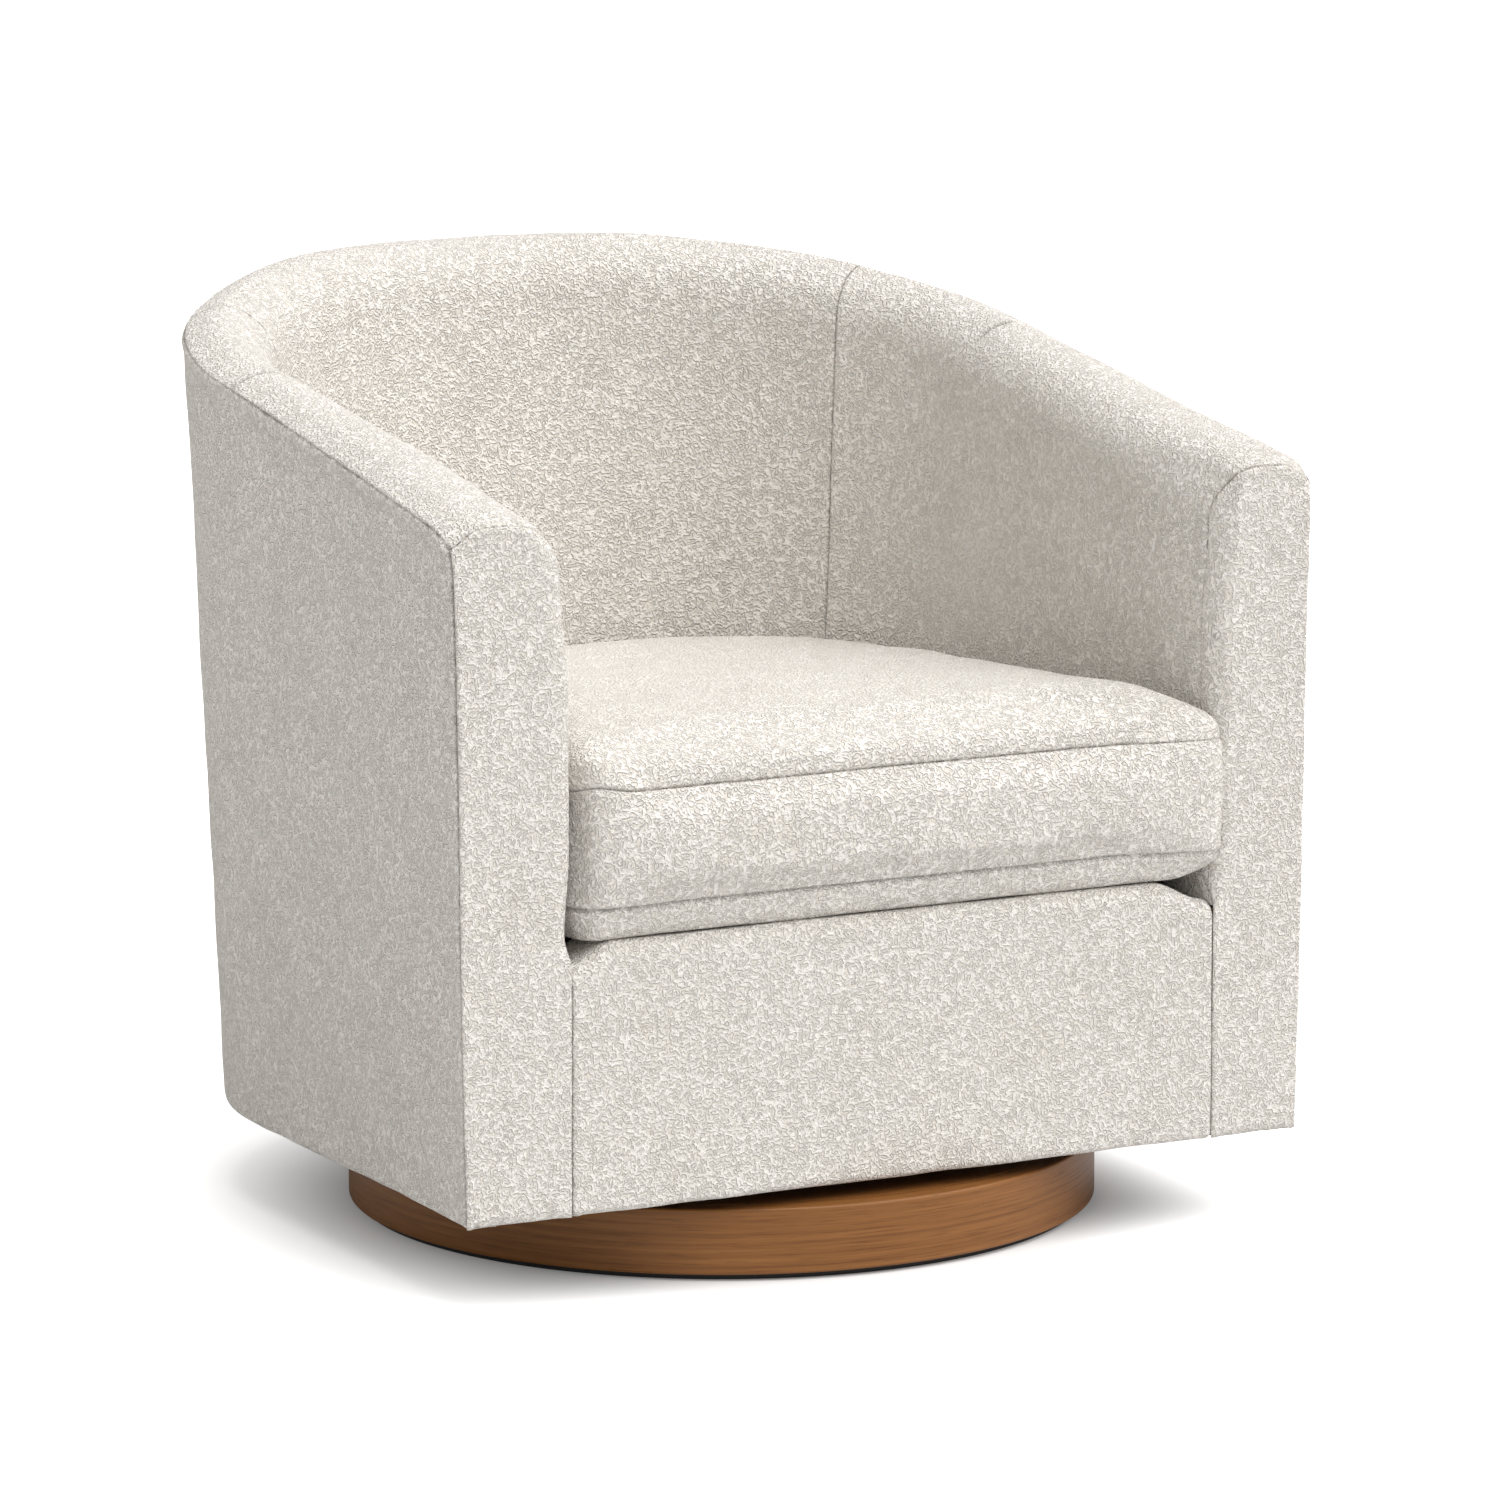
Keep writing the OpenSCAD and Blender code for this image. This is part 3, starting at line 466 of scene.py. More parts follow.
def oak_material():
    """Oak veneer wrapped round the plinth, its grain running round the rim."""
    m = new_material("oak_veneer")
    x, y, z = m.add("SeparateXYZ", {0: m.coords()}).outputs
    angle = m.math("ARCTAN2", x, m.math("MULTIPLY", y, -1.0))
    radius = m.math("SQRT", m.math("ADD", m.math("MULTIPLY", x, x), m.math("MULTIPLY", y, y)))
    along = m.math("MULTIPLY", angle, PLINTH_R_M)
    flow = m.add("CombineXYZ", {0: along, 1: m.math("ADD", z, radius), 2: 0.0}).outputs[0]
    streak = m.noise(m.scaled(flow, (4.5, 330.0, 1.0)), 1.0, 4.0, 0.6, 0.35)
    pores = m.noise(m.scaled(flow, (20.0, 640.0, 1.0)), 1.0, 3.0, 0.65)
    arch = m.add("TexWave", {"Vector": m.scaled(flow, (1.1, 34.0, 1.0)), "Scale": 1.1,
                             "Distortion": 6.5, "Detail": 2.0, "Detail Scale": 0.6,
                             "Detail Roughness": 0.6},
                 wave_type="BANDS", bands_direction="Y").outputs["Fac"]
    tone = m.math("MULTIPLY_ADD", arch, 0.12, m.math("MULTIPLY", streak, 0.88))
    colour = m.ramp(tone, (0.26, (0.168, 0.064, 0.017)), (0.45, (0.222, 0.088, 0.022)),
                    (0.62, (0.265, 0.109, 0.029)), (0.80, (0.310, 0.137, 0.040)))
    dark = m.ramp(pores, (0.32, (0.56, 0.51, 0.47)), (0.48, WHITE))
    return m.surface(Base_Color=m.mix(0.75, colour, dark, "MULTIPLY"), Specular_IOR_Level=0.28,
                     Roughness=m.math("MULTIPLY_ADD", pores, -0.12, 0.50), Coat_Weight=0.04,
                     Coat_Roughness=0.35, Normal=m.bump(pores, 0.0002, 0.35))


def plain_material(name, scale, dark, light, rough, bump, middle=(), high=0.7, **extra):
    """Stuff with an even grain. A scale for each direction makes it streaked, as in timber or
    rolled steel; one scale makes it speckled, as in foam, felt or powder coat."""
    m = new_material(name)
    at = m.coords()
    if isinstance(scale, tuple):
        grain, patch = m.noise(m.scaled(at, scale), 1.0, 4.0, 0.6, 0.2), m.noise(at, 9.0)
        share, change, strength = 0.3, 0.16, 0.5
    else:
        grain, patch = m.noise(at, scale, 3.0, 0.6), m.noise(at, 12.0)
        share, change, strength = 0.35, 0.14, 0.6
    fac = m.math("MULTIPLY_ADD", patch, share, m.math("MULTIPLY", grain, 1 - share))
    return m.surface(Base_Color=m.ramp(fac, (0.3, dark), *middle, (high, light)),
                     Roughness=m.math("MULTIPLY_ADD", grain, change, rough - change / 2),
                     Normal=m.bump(grain, bump, strength), **extra)


MATERIALS = {
    "boucle": boucle_material(),
    "oak": oak_material(),
    "timber": plain_material("sawn_timber", (8.0, 8.0, 160.0), (0.42, 0.27, 0.14),
                             (0.70, 0.53, 0.34), 0.72, 0.0004,
                             middle=((0.55, (0.60, 0.43, 0.25)),), high=0.75),
    "steel": plain_material("pressed_steel", (900.0, 60.0, 900.0), (0.36, 0.37, 0.38),
                            (0.55, 0.56, 0.58), 0.36, 0.00005, Metallic=1.0),
    "zinc": plain_material("zinc_plate", (260.0, 260.0, 260.0), (0.58, 0.58, 0.55),
                           (0.74, 0.74, 0.72), 0.30, 0.00004, Metallic=1.0),
    "foam": plain_material("upholstery_foam", 700.0, (0.74, 0.66, 0.42), (0.88, 0.82, 0.60),
                           0.95, 0.0006),
    "fibreboard": plain_material("fibreboard", 420.0, (0.30, 0.21, 0.13), (0.47, 0.36, 0.24),
                                 0.85, 0.0002),
    "lining": plain_material("black_lining", 900.0, (0.012, 0.012, 0.014),
                             (0.035, 0.035, 0.04), 0.93, 0.0003, Sheen_Weight=0.15),
    # Near black: the ring under the plinth, whose colour also paints the shade in the gap under the
    # plinth
    "black_base": plain_material("black_base", 600.0, (0.010, 0.010, 0.010),
                                 (0.022, 0.022, 0.022), 0.62, 0.0001),
}
for row in frame["record"]["subparts"]:
    node = frame["nodes"][row["node"]]
    node.data.materials.clear()
    node.data.materials.append(MATERIALS[row["material_slot"]])


# ---- Tub covers ----

def seam_back(u_face):
    """How far behind the arm's front plane its front seam runs: 3 mm on top, 22 mm on the inner
    face. u_face is 0 on the crown and 1 on the inner face."""
    return FRONT_SEAM_TOP + 19.0 * smooth(u_face)


def front_round(u_face):
    """Radius of an arm front's edge, with u_face as for seam_back."""
    return 3.0 + 14.0 * smooth(u_face)


def low_share(z):
    """1 above the seat, 0 beside the front rail, where the arm front lies flush with the rail."""
    return smooth((z - 258.0) / 26.0)


def upper_profile():
    """Places down the upper profile as (section, share): crown, flat, roll and inner face."""
    rows = [(0, a) for a in spaced(CROWN_RUN, end=False) / CROWN_RUN]
    rows += [(1, a) for a in (0.35, 0.7, 1.0)]
    rows += [(2, a) for a in np.linspace(0, 1, ROLL_ROWS + 1)[1:]]
    face_rows = FACE_ROWS
    while (len(rows) + face_rows - 1) % 4:
        face_rows += 1
    return rows + [(3, a) for a in np.linspace(0, 1, face_rows + 1)[1:]]


def upper_surface(v, rows, low_z):
    """Base surface of the padded wall: rows down the profile by stations v of shape (rows, n)."""
    section, a = (np.array(column)[:, None] for column in zip(*rows))
    top = seam_z(v)
    face_z = top + CROWN_H - ROLL_R
    roll_in = wall_t(v, face_z) - ROLL_R
    angle = np.pi / 2 * (1 - a)
    on = [section == 0, section == 1, section == 2]
    z = np.select(on, [top + CROWN_H * np.sin(np.pi / 2 * a), top + CROWN_H,
                       face_z + ROLL_R * np.sin(angle)], face_z + (low_z - face_z) * a)
    depth = np.select(on, [CROWN_IN * a + 0 * v, CROWN_IN + (roll_in - CROWN_IN) * a,
                           roll_in + ROLL_R * np.cos(angle)], wall_t(v, z))
    p = wall(v, depth, z)
    k = EVEN_FROM
    for _ in range(EVEN_PASSES):
        p[k:-1] = (p[k - 1:-2] + 2 * p[k:-1] + p[k + 1:]) / 4
    return p


def face_share(rows):
    """0 on the crown, rising over the roll to 1 on the inner face, for each row."""
    return np.array([0.0 if s < 2 else (a if s == 2 else 1.0) for s, a in rows])


def arm_back_seam_shade(rows):
    """Strength of the painted shade in the seams between arms and back: stronger on the crown."""
    return 0.75 - 0.35 * face_share(rows)[:, None]


def settled(p, loose=False):
    """How the upholstery has settled round the frame: the arms' outer top corners are rounded,
    their front outer edges draw in towards the top, their inner front edges lean to the right
    and are rounder high up, and the arm fronts end a little lower than the CAD's.
    The cushion is loose, so it has the arms' shape above the seat at every height."""
    x, y, z = p[..., 0], p[..., 1], p[..., 2]
    from_front, aside, way = y - FRONT_Y, np.abs(x), np.sign(x)
    corner = np.exp(-(from_front / 18) ** 2 - ((z - ARM_Z) / 17) ** 2
                    - ((aside - TOP_FRONT_W / 2) / 22) ** 2)
    outer_edge = np.exp(-(from_front / 15) ** 2 - ((aside - 372) / 14) ** 2)
    outer_edge *= smooth((z - 150) / 400)
    inner_edge = np.exp(-(from_front / 45) ** 2 - ((aside - 282.5) / 26) ** 2)
    above_seat, roll, top_edge = 1.0, 0.0, 0.0
    if not loose:
        above_seat = smooth((z - 285) / 60)
        roll = np.exp(-(from_front / 90) ** 2 - ((aside - 290) / 22) ** 2)
        roll *= smooth((z - 470) / 95) * (1 - smooth((z - 590) / 20))
        top_edge = np.exp(-(from_front / 15) ** 2) * smooth((z - 545) / 50)
    out = p.copy()
    out[..., 0] += ROLL_BACK * way * roll
    out[..., 0] += (LEAN + LEAN_LEFT * above_seat * (x < 0)) * inner_edge
    out[..., 0] -= EDGE_DRAW * way * outer_edge
    out[..., 1] += CORNER_BACK * corner
    out[..., 2] -= CORNER_DOWN * corner + TOP_EDGE_DOWN * top_edge
    return out


def upholstered(name, base, height, marks, into, thick, nodes):
    """A boucle skin on the tub: the base raised by height, settled, and thick mm through."""
    surface = settled(lifted(base, height, into))
    verts, faces = shell(surface, settled(base), into, thick)
    return link(name, verts, faces, "tub", nodes, "boucle", with_back(marks, verts))


def arm_cover(side):
    rows = upper_profile()
    cross_v = 1 - (CROSS_SEAM_Y - FRONT_Y) / SIDE_RUN
    line = stations(1.0, SEAM_V, near_v=(cross_v,))
    share = face_share(rows)
    # A row's height is near enough here: it only tells where the arm front opens above the seat
    opened = low_share(np.array([FACE_TOP_Z + (ARM_LOW_Z - FACE_TOP_Z) * (a if s == 3 else 0.0)
                                 for s, a in rows]))
    back = FRONT_SEAM_TOP + (seam_back(share) - FRONT_SEAM_TOP) * opened
    hold = 1 - smooth((1 - line) * SIDE_RUN / 90)
    v = side * (line[None, :] - back[:, None] / SIDE_RUN * hold[None, :])
    base = upper_surface(v, rows, ARM_LOW_Z)
    d_top, _ = runs(base, 0)
    d_front, d_back = runs(base, 1)
    # The seam across the arm's top fades out down the inner face
    cross_at = np.interp(cross_v, line[::-1], np.arange(len(line))[::-1])
    to_cross = np.abs(d_front - d_front[:, int(round(cross_at))][:, None])
    fade = 1 - smooth((d_top - 60) / 40)
    h = fabric(base, (d_top, d_front, d_back)) + seam(d_top, ridge=0.3)
    h += seam(d_front, depth=1.5, ridge=0.55) + seam(d_back, depth=ARM_BACK_TUCK)
    h += fade * seam(to_cross, depth=1.5, width=2.0, ridge=0.35, at=4.0, spread=3.0)
    # Painted shade along the arm's seams: strongest on the top seam, weaker at the front seam where
    # the arm front opens above the seat
    front_seam_shade = 0.45 - (0.33 * share * opened)[:, None]
    marks = painted_seam_shade(base, (d_top, 1.0), (d_front, front_seam_shade),
                       (d_back, arm_back_seam_shade(rows)), (to_cross + 9 * (1 - fade), 0.75))
    name = SIDE_NAMES[side]
    piece = upholstered(f"arm_padding_{name}", base, h, marks, (side, 0, 0), PAD_T,
                        (f"arm_cover_{name}", f"arm_foam_{name}"))
    return piece


def inside_back():
    rows = upper_profile()
    line = stations(-SEAM_V, SEAM_V)
    base = upper_surface(np.repeat(line[None, :], len(rows), 0), rows, BACK_LOW_Z)
    d_top, _ = runs(base, 0)
    d_left, d_right = runs(base, 1)
    h = fabric(base, (d_top, d_left, d_right)) + seam(d_top, ridge=0.3)
    h += seam(d_left, depth=ARM_BACK_TUCK) + seam(d_right, depth=ARM_BACK_TUCK)
    # Painted shade along the top seam and the seams to the arms
    seam_shade_strength = arm_back_seam_shade(rows)
    marks = painted_seam_shade(base, (d_top, 1.0), (d_left, seam_shade_strength), (d_right, seam_shade_strength))
    piece = upholstered("inside_back_padding", base, h, marks, (0, 1, 0), PAD_T,
                        ("inside_back_cover", "back_foam"))
    return piece


def stacked_rows(rows, width):
    """Rows of two coordinates as two grids, with rows added near the start to make 4n + 1."""
    while (len(rows) - 1) % 4:
        rows.insert(1, tuple((rows[0][k] + rows[1][k]) / 2 for k in (0, 1)))
    return [np.stack([np.broadcast_to(r[k], width) for r in rows]) for k in (0, 1)]


def outside_panel():
    line = stations(-1 + PANEL_END / SIDE_RUN, 1 - PANEL_END / SIDE_RUN)
    edge_r = 6.0 + 7.0 * smooth((SEAM_V - np.abs(line)) / SEAM_V)
    # A path from under the tub, round its lower edge and up the outer face
    rows = [(PANEL_UNDER + (edge_r - PANEL_UNDER) * a, BODY_Z) for a in np.linspace(0, 1, 4)[:-1]]
    for angle in np.pi / 2 * np.linspace(0, 1, 10):
        rows.append((edge_r * (1 - np.sin(angle)), BODY_Z + edge_r * (1 - np.cos(angle))))
    low, top = BODY_Z + edge_r, seam_z(line)
    up = spaced(PANEL_H, 5.0, start=False) / PANEL_H
    rows += [(0.0, low + (top - low) * a) for a in up[1:]]
    depth, z = stacked_rows(rows, line.shape)
    base = wall(line, depth, z)
    _, d_top = runs(base, 0)
    d_left, d_right = runs(base, 1)
    h = fabric(base, (d_top, d_left, d_right)) + seam(d_top, ridge=1.3, at=4.2, spread=2.6)
    h += seam(d_left, ridge=0.7) + seam(d_right, ridge=0.7)
    # Painted shade along the top seam and the panel's ends
    marks = painted_seam_shade(base, (d_top, 1.0), (d_left, 0.75), (d_right, 0.75))
    piece = upholstered("outside_panel", base, h, marks, (0, -1, 0), PANEL_T,
                        ("outside_cover",))
    return piece


def edge_path(share, round_r, seam_y):
    """A place on the way in from an arm front's edge seam, which is seam_y behind the front:
    its inset, its distance behind the front, how far the surface has turned, and the run."""
    straight, turn = seam_y - round_r, math.pi * round_r / 2
    s = share * (straight + turn + FRONT_REACH - round_r)
    if s < straight:
        return 0.0, seam_y - s, 0.0, s
    if s < straight + turn:
        angle = (s - straight) / round_r
        return round_r * (1 - math.cos(angle)), round_r * (1 - math.sin(angle)), angle, s
    return s - straight - turn + round_r, 0.0, math.pi / 2, s


def front_ring(side, path):
    """One ring of an arm front: every point is the same share of the way in from its edge seam.
    Sections go up the outer edge, over the crown and roll, down the inner edge and along the
    bottom, and each has its own rounding."""
    top = float(seam_z(np.array(1.0)))
    face_z = top + CROWN_H - ROLL_R

    def thickness(z):
        return float(wall_t(np.array(1.0), np.array(z)))

    flat_end = thickness(face_z) - ROLL_R

    def crown_z(depth, inset):
        return top + CROWN_H * math.sin(math.pi / 2 * min(depth / CROWN_IN, 1)) - inset

    def outer(a, d):
        low = BODY_Z + d
        return d, low + (crown_z(d, d) - low) * a

    def crown(a, d):
        depth = d + (flat_end - d) * a
        return depth, crown_z(depth, d)

    def roll(a, d):
        angle = math.pi / 2 * (1 - a)
        return flat_end + (ROLL_R - d) * math.cos(angle), face_z + (ROLL_R - d) * math.sin(angle)

    def inner(a, d):
        z = face_z + (BODY_Z + d - face_z) * a
        return thickness(z) - d, z

    def bottom(a, d):
        wide = thickness(BODY_Z + d) - d
        return wide + (d - wide) * a, BODY_Z + d

    def inner_rounding(a):
        opened = float(low_share(face_z + (BODY_Z - face_z) * a))
        return 2.5 + 14.5 * opened, 2.5 + 19.5 * opened

    def bottom_rounding(a):
        turned = float(smooth(min(a, 1 - a) / 0.16))
        return 2.5 + 3.5 * turned, 2.5 + 15.5 * turned

    places = []
    for count, place, rounding in (
            (OUTER_N, outer, lambda a: (2.5, 2.5)), (CROWN_N, crown, lambda a: (3.0, 3.0)),
            (ROLL_N, roll, lambda a: (float(front_round(a)), float(seam_back(a)))),
            (INNER_N, inner, inner_rounding), (BOTTOM_N, bottom, bottom_rounding)):
        for a in np.arange(count) / count:
            inset, *rest = edge_path(path, *rounding(a))
            places.append((*place(a, inset), *rest))
    depth, z, y, angle, dist = np.array(places).T
    at = wall(float(side), depth, z)
    at[:, 1] = FRONT_Y + y
    return at, angle, dist


def coons(left, right, bottom, top):
    """A patch between four borders: left and right share a count, and bottom and top another."""
    n, m = len(left), len(bottom)
    a = np.linspace(0, 1, n)[:, None, None]
    b = np.linspace(0, 1, m)[None, :, None]
    sides = left[:, None] * (1 - b) + right[:, None] * b
    ends = bottom[None] * (1 - a) + top[None] * a
    corners = (bottom[0] * (1 - a) * (1 - b) + bottom[-1] * (1 - a) * b
               + top[0] * a * (1 - b) + top[-1] * a * b)
    return sides + ends - corners


def resampled(line, count):
    run = np.concatenate([[0], np.cumsum(np.linalg.norm(np.diff(line, axis=0), axis=1))])
    at = np.linspace(0, run[-1], count)
    return np.stack([np.interp(at, run, line[:, k]) for k in range(line.shape[1])], -1)


def arm_front(side):
    """An arm front: rings in from its edge seam, then a grid over its middle."""
    counts = (OUTER_N, CROWN_N + ROLL_N, INNER_N, BOTTOM_N)
    part, tuck = (np.repeat(x, counts) for x in (np.arange(4), (TUCK_DEPTH, 1.7, 1.4, TUCK_DEPTH)))
    rings, marks = [], []
    for path in FRONT_PATHS:
        at, angle, dist = front_ring(side, path)
        along = np.roll(at, -1, 0) - np.roll(at, 1, 0)
        # Inward direction in the front plane, square to the ring
        flat = np.stack([along[:, 2], np.zeros(len(at)), -along[:, 0]], -1)
        flat /= np.maximum(np.linalg.norm(flat, axis=1, keepdims=True), 1e-9)
        toward = np.array([side * FRONT_MIDDLE[0], 0, FRONT_MIDDLE[1]]) - at
        toward[:, 1] = 0
        sign = np.sign((flat * toward).sum(1))
        flat *= np.where(sign == 0, 1, sign)[:, None]
        outward = -flat * np.cos(angle)[:, None] + np.array([0, -1, 0]) * np.sin(angle)[:, None]
        h = fabric(at, (dist,)) * smooth(dist / 3) + seam(dist, depth=tuck, ridge=0.45)
        rings.append(at + outward * h[:, None])
        # Painted shade along the arm front's edge seam: its strength by section, weaker where the
        # seam runs back from the front, and strongest low down beside the rail
        beside_arm = 0.42 - 0.3 * smooth((at[:, 1] - FRONT_Y - 3) / 18)
        beside_rail = 0.9 - 0.8 * low_share(at[:, 2])
        marks.append(painted_seam_shade(at, (dist, np.choose(part, (0.7, beside_arm, beside_rail, 0.3)))))
    last, n = rings[-1], len(rings[-1])
    i1, i2, i3 = np.cumsum(counts)[:3]
    rows, cols = OUTER_N + 1, BOTTOM_N + 1
    left, top = resampled(last[:i1 + 1], rows), resampled(last[i1:i2 + 1], cols)
    right = resampled(last[i2:i3 + 1][::-1], rows)
    bottom = resampled(np.concatenate([last[i3:], last[:1]])[::-1], cols)
    patch = coons(left, right, bottom, top)
    patch[..., 1] = FRONT_Y - fabric(patch)
    patch = patch.reshape(-1, 3)
    # The grid's border points become the ring points nearest to them
    tree = tree_of(last)
    index = {int(i): n * (len(rings) - 1) + tree.find(patch[i])[1] for i in edge_loop(rows, cols)}
    inside = [i for i in range(len(patch)) if i not in index]
    index.update({i: n * len(rings) + k for k, i in enumerate(inside)})
    faces = ring_faces(len(rings), n).tolist()
    for quad in grid_faces(rows, cols):
        q = [index[int(i)] for i in quad]
        q = [a for k, a in enumerate(q) if a != q[k - 1]]
        if len(set(q)) >= 3:
            faces.append(q)
    return (np.concatenate(rings + [patch[inside]]), faces,
            np.concatenate(marks + [np.zeros(len(inside))]))


def arm_front_piece(side):
    name = SIDE_NAMES[side]
    verts, faces, marks = arm_front(side)
    piece = link(f"arm_front_padding_{name}", settled(verts), faces, "tub",
                 (f"arm_front_cover_{name}", f"arm_front_pad_{name}"), "boucle", marks)
    close_pad(piece)
    return piece


def close_pad(obj):
    """Fills small holes along joined borders and turns a single-sided front panel into a closed
    pad, by drawing its border back and a little in."""
    bm = bmesh.new()
    bm.from_mesh(obj.data)
    bmesh.ops.remove_doubles(bm, verts=bm.verts, dist=0.00005)
    bmesh.ops.holes_fill(bm, edges=[e for e in bm.edges if e.is_boundary], sides=12)
    drawn = bmesh.ops.extrude_edge_only(bm, edges=[e for e in bm.edges if e.is_boundary])
    drawn = [v for v in drawn["geom"] if isinstance(v, bmesh.types.BMVert)]
    xs = [v.co.x for v in drawn]
    # Rounded as the mesh's own numbers are, since the back's fill hangs on their last digit
    middle = float(np.float32((min(xs) + max(xs)) / 2))
    for v in drawn:
        v.co.y += FRONT_PAD_BACK * MM
        v.co.x += (middle - v.co.x) * FRONT_PAD_IN
    bmesh.ops.holes_fill(bm, edges=[e for e in bm.edges if e.is_boundary], sides=0)
    finish_mesh(bm, obj)


def finish_mesh(bm, obj):
    """Makes the faces agree and gives the mesh back to its object."""
    bmesh.ops.recalc_face_normals(bm, faces=bm.faces)
    bm.to_mesh(obj.data)
    bm.free()
    obj.data.shade_smooth()


def front_rail():
    half_front = BOTTOM_FRONT_W / 2 - ARM_T - 0.2
    xs = spaced(2 * half_front) - half_front
    # Under the tub, round the lower edge, up the front, over the upper edge and back on the deck
    rows = [(FRONT_Y + y, BODY_Z) for y in (20.0, 13.0, 6.0)]
    low = BODY_Z + RAIL_LOW_R
    for a in np.linspace(0, np.pi / 2, 7)[1:]:
        rows.append((FRONT_Y + RAIL_LOW_R * (1 - math.sin(a)), low - RAIL_LOW_R * math.cos(a)))
    deck_z = deck_at(FRONT_Y + RAIL_TOP_R)
    ends = smooth((np.abs(xs) - RAIL_END_X) / (half_front - RAIL_END_X))
    top = deck_z - RAIL_END_DROP * ends - 0.5
    rows += [(FRONT_Y, low + (top - RAIL_TOP_R - low) * a) for a in np.linspace(0, 1, 46)[1:]]
    for a in np.linspace(0, np.pi / 2, 9)[1:]:
        rows.append((FRONT_Y + RAIL_TOP_R * (1 - math.cos(a)),
                     top - RAIL_TOP_R + RAIL_TOP_R * math.sin(a)))
    for a in np.linspace(0, 1, 12)[1:]:
        y = FRONT_Y + RAIL_TOP_R + (RAIL_BACK - RAIL_TOP_R) * a
        rows.append((y, top + (deck_at(y) - deck_z)))
    y, z = stacked_rows(rows, xs.shape)
    v = 1 - (y - FRONT_Y) / SIDE_RUN
    half = np.abs(wall(v, wall_t(v, z), z)[..., 0]) - 0.1
    base = np.stack([xs / half_front * half, y, z], -1)
    d_left, d_right = runs(base, 1)
    h = fabric(base, (d_left, d_right))
    h += seam(d_left, depth=RAIL_TUCK) + seam(d_right, depth=RAIL_TUCK)
    # Painted shade, faint, beside the seams at the rail's ends
    marks = painted_seam_shade(base, (d_left, 0.4), (d_right, 0.4))
    piece = upholstered("front_rail_padding", base, h, marks, (0, 1, 0), RAIL_T,
                        ("front_rail_cover", "front_rail_foam"))
    return piece


# ---- Seat cushion ----

def cushion_loop(inset, h, line, front_y=CUSHION_FRONT_Y, corner_r=CUSHION_CORNER_R,
                 gap=CUSHION_GAP, n_corner=10, n_front=120):
    """One closed ring of the cushion or the deck: round the inner wall, then across the front."""
    r = max(corner_r - inset / 2, 6)
    y0 = front_y + inset
    side_start = y0 + r
    stretch = (CUSHION_SIDE_Y - side_start) / (CUSHION_SIDE_Y - FRONT_Y)
    first = wall(line, BACK_T, DECK_Z)
    z = deck_at(first[:, 1]) + h
    p = wall(line, wall_t(line, z) + gap + inset, z)[:, :2]
    forward = p[:, 1] < CUSHION_SIDE_Y
    p[forward, 1] = CUSHION_SIDE_Y - (CUSHION_SIDE_Y - p[forward, 1]) * stretch
    x = p[-1, 0]
    a = np.radians(np.linspace(0, 90, n_corner + 2)[1:])
    right = np.stack([x - r + r * np.cos(a), side_start - r * np.sin(a)], -1)
    left = np.stack([-right[::-1, 0], right[::-1, 1]], -1)
    front_x = np.linspace(right[-1, 0], left[0, 0], n_front + 1)[1:-1]
    front = np.stack([front_x, np.full(n_front - 1, y0)], -1)
    loop = np.concatenate([p, right, front, left])
    # Rings far in are evened out, so that they don't fold where the outline turns sharply
    for _ in range(int(max(inset - 12, 0) * 4)):
        loop = (np.roll(loop, 1, 0) + 2 * loop + np.roll(loop, -1, 0)) / 4
    return np.concatenate([loop, (deck_at(loop[:, 1]) + h)[:, None]], 1)


def cushion_levels():
    """Insets and heights of the cushion's rings from the bottom's middle to the crown's middle."""
    low_r = CUSHION_LOW_SEAM_H - 0.5
    levels = []
    for a in np.linspace(90, 0, 12):
        levels.append((low_r / 2 * (1 - math.cos(math.radians(a))),
                       CUSHION_LOW_SEAM_H - low_r * math.sin(math.radians(a)), "bottom"))
    for s in spaced(CUSHION_SEAM_H - CUSHION_LOW_SEAM_H, 4.6)[1:-1]:
        levels.append((0.0, CUSHION_LOW_SEAM_H + s, "boxing"))
    dense = np.radians(np.linspace(0, 90, 800))
    inset, rise = CROWN_DEPTH * (1 - np.cos(dense)) ** 2, CUSHION_CROWN * np.sin(dense)
    run = np.concatenate([[0], np.cumsum(np.hypot(np.diff(inset), np.diff(rise)))])
    for s in spaced(run[-1], 4.8, end=False):
        levels.append((float(np.interp(s, run, inset)),
                       CUSHION_SEAM_H + float(np.interp(s, run, rise)), "top"))
    return levels


def whole_line():
    """Stations round the whole wall, from one arm front to the other, even on both sides."""
    half = stations(0, 1.0, start=False, end=False)[1:]
    return np.concatenate([-half[::-1], [0.0], half])


def over_top_seam(p):
    return p[..., 2] - deck_at(p[..., 1]) - CUSHION_SEAM_H


def unit_from_middle(xy):
    """Unit directions in plan away from the cushion's middle, and the distances from it."""
    away = xy - np.array(CUSHION_MIDDLE)
    size = np.linalg.norm(away, axis=-1, keepdims=True)
    return away / np.maximum(size, 1e-9), size


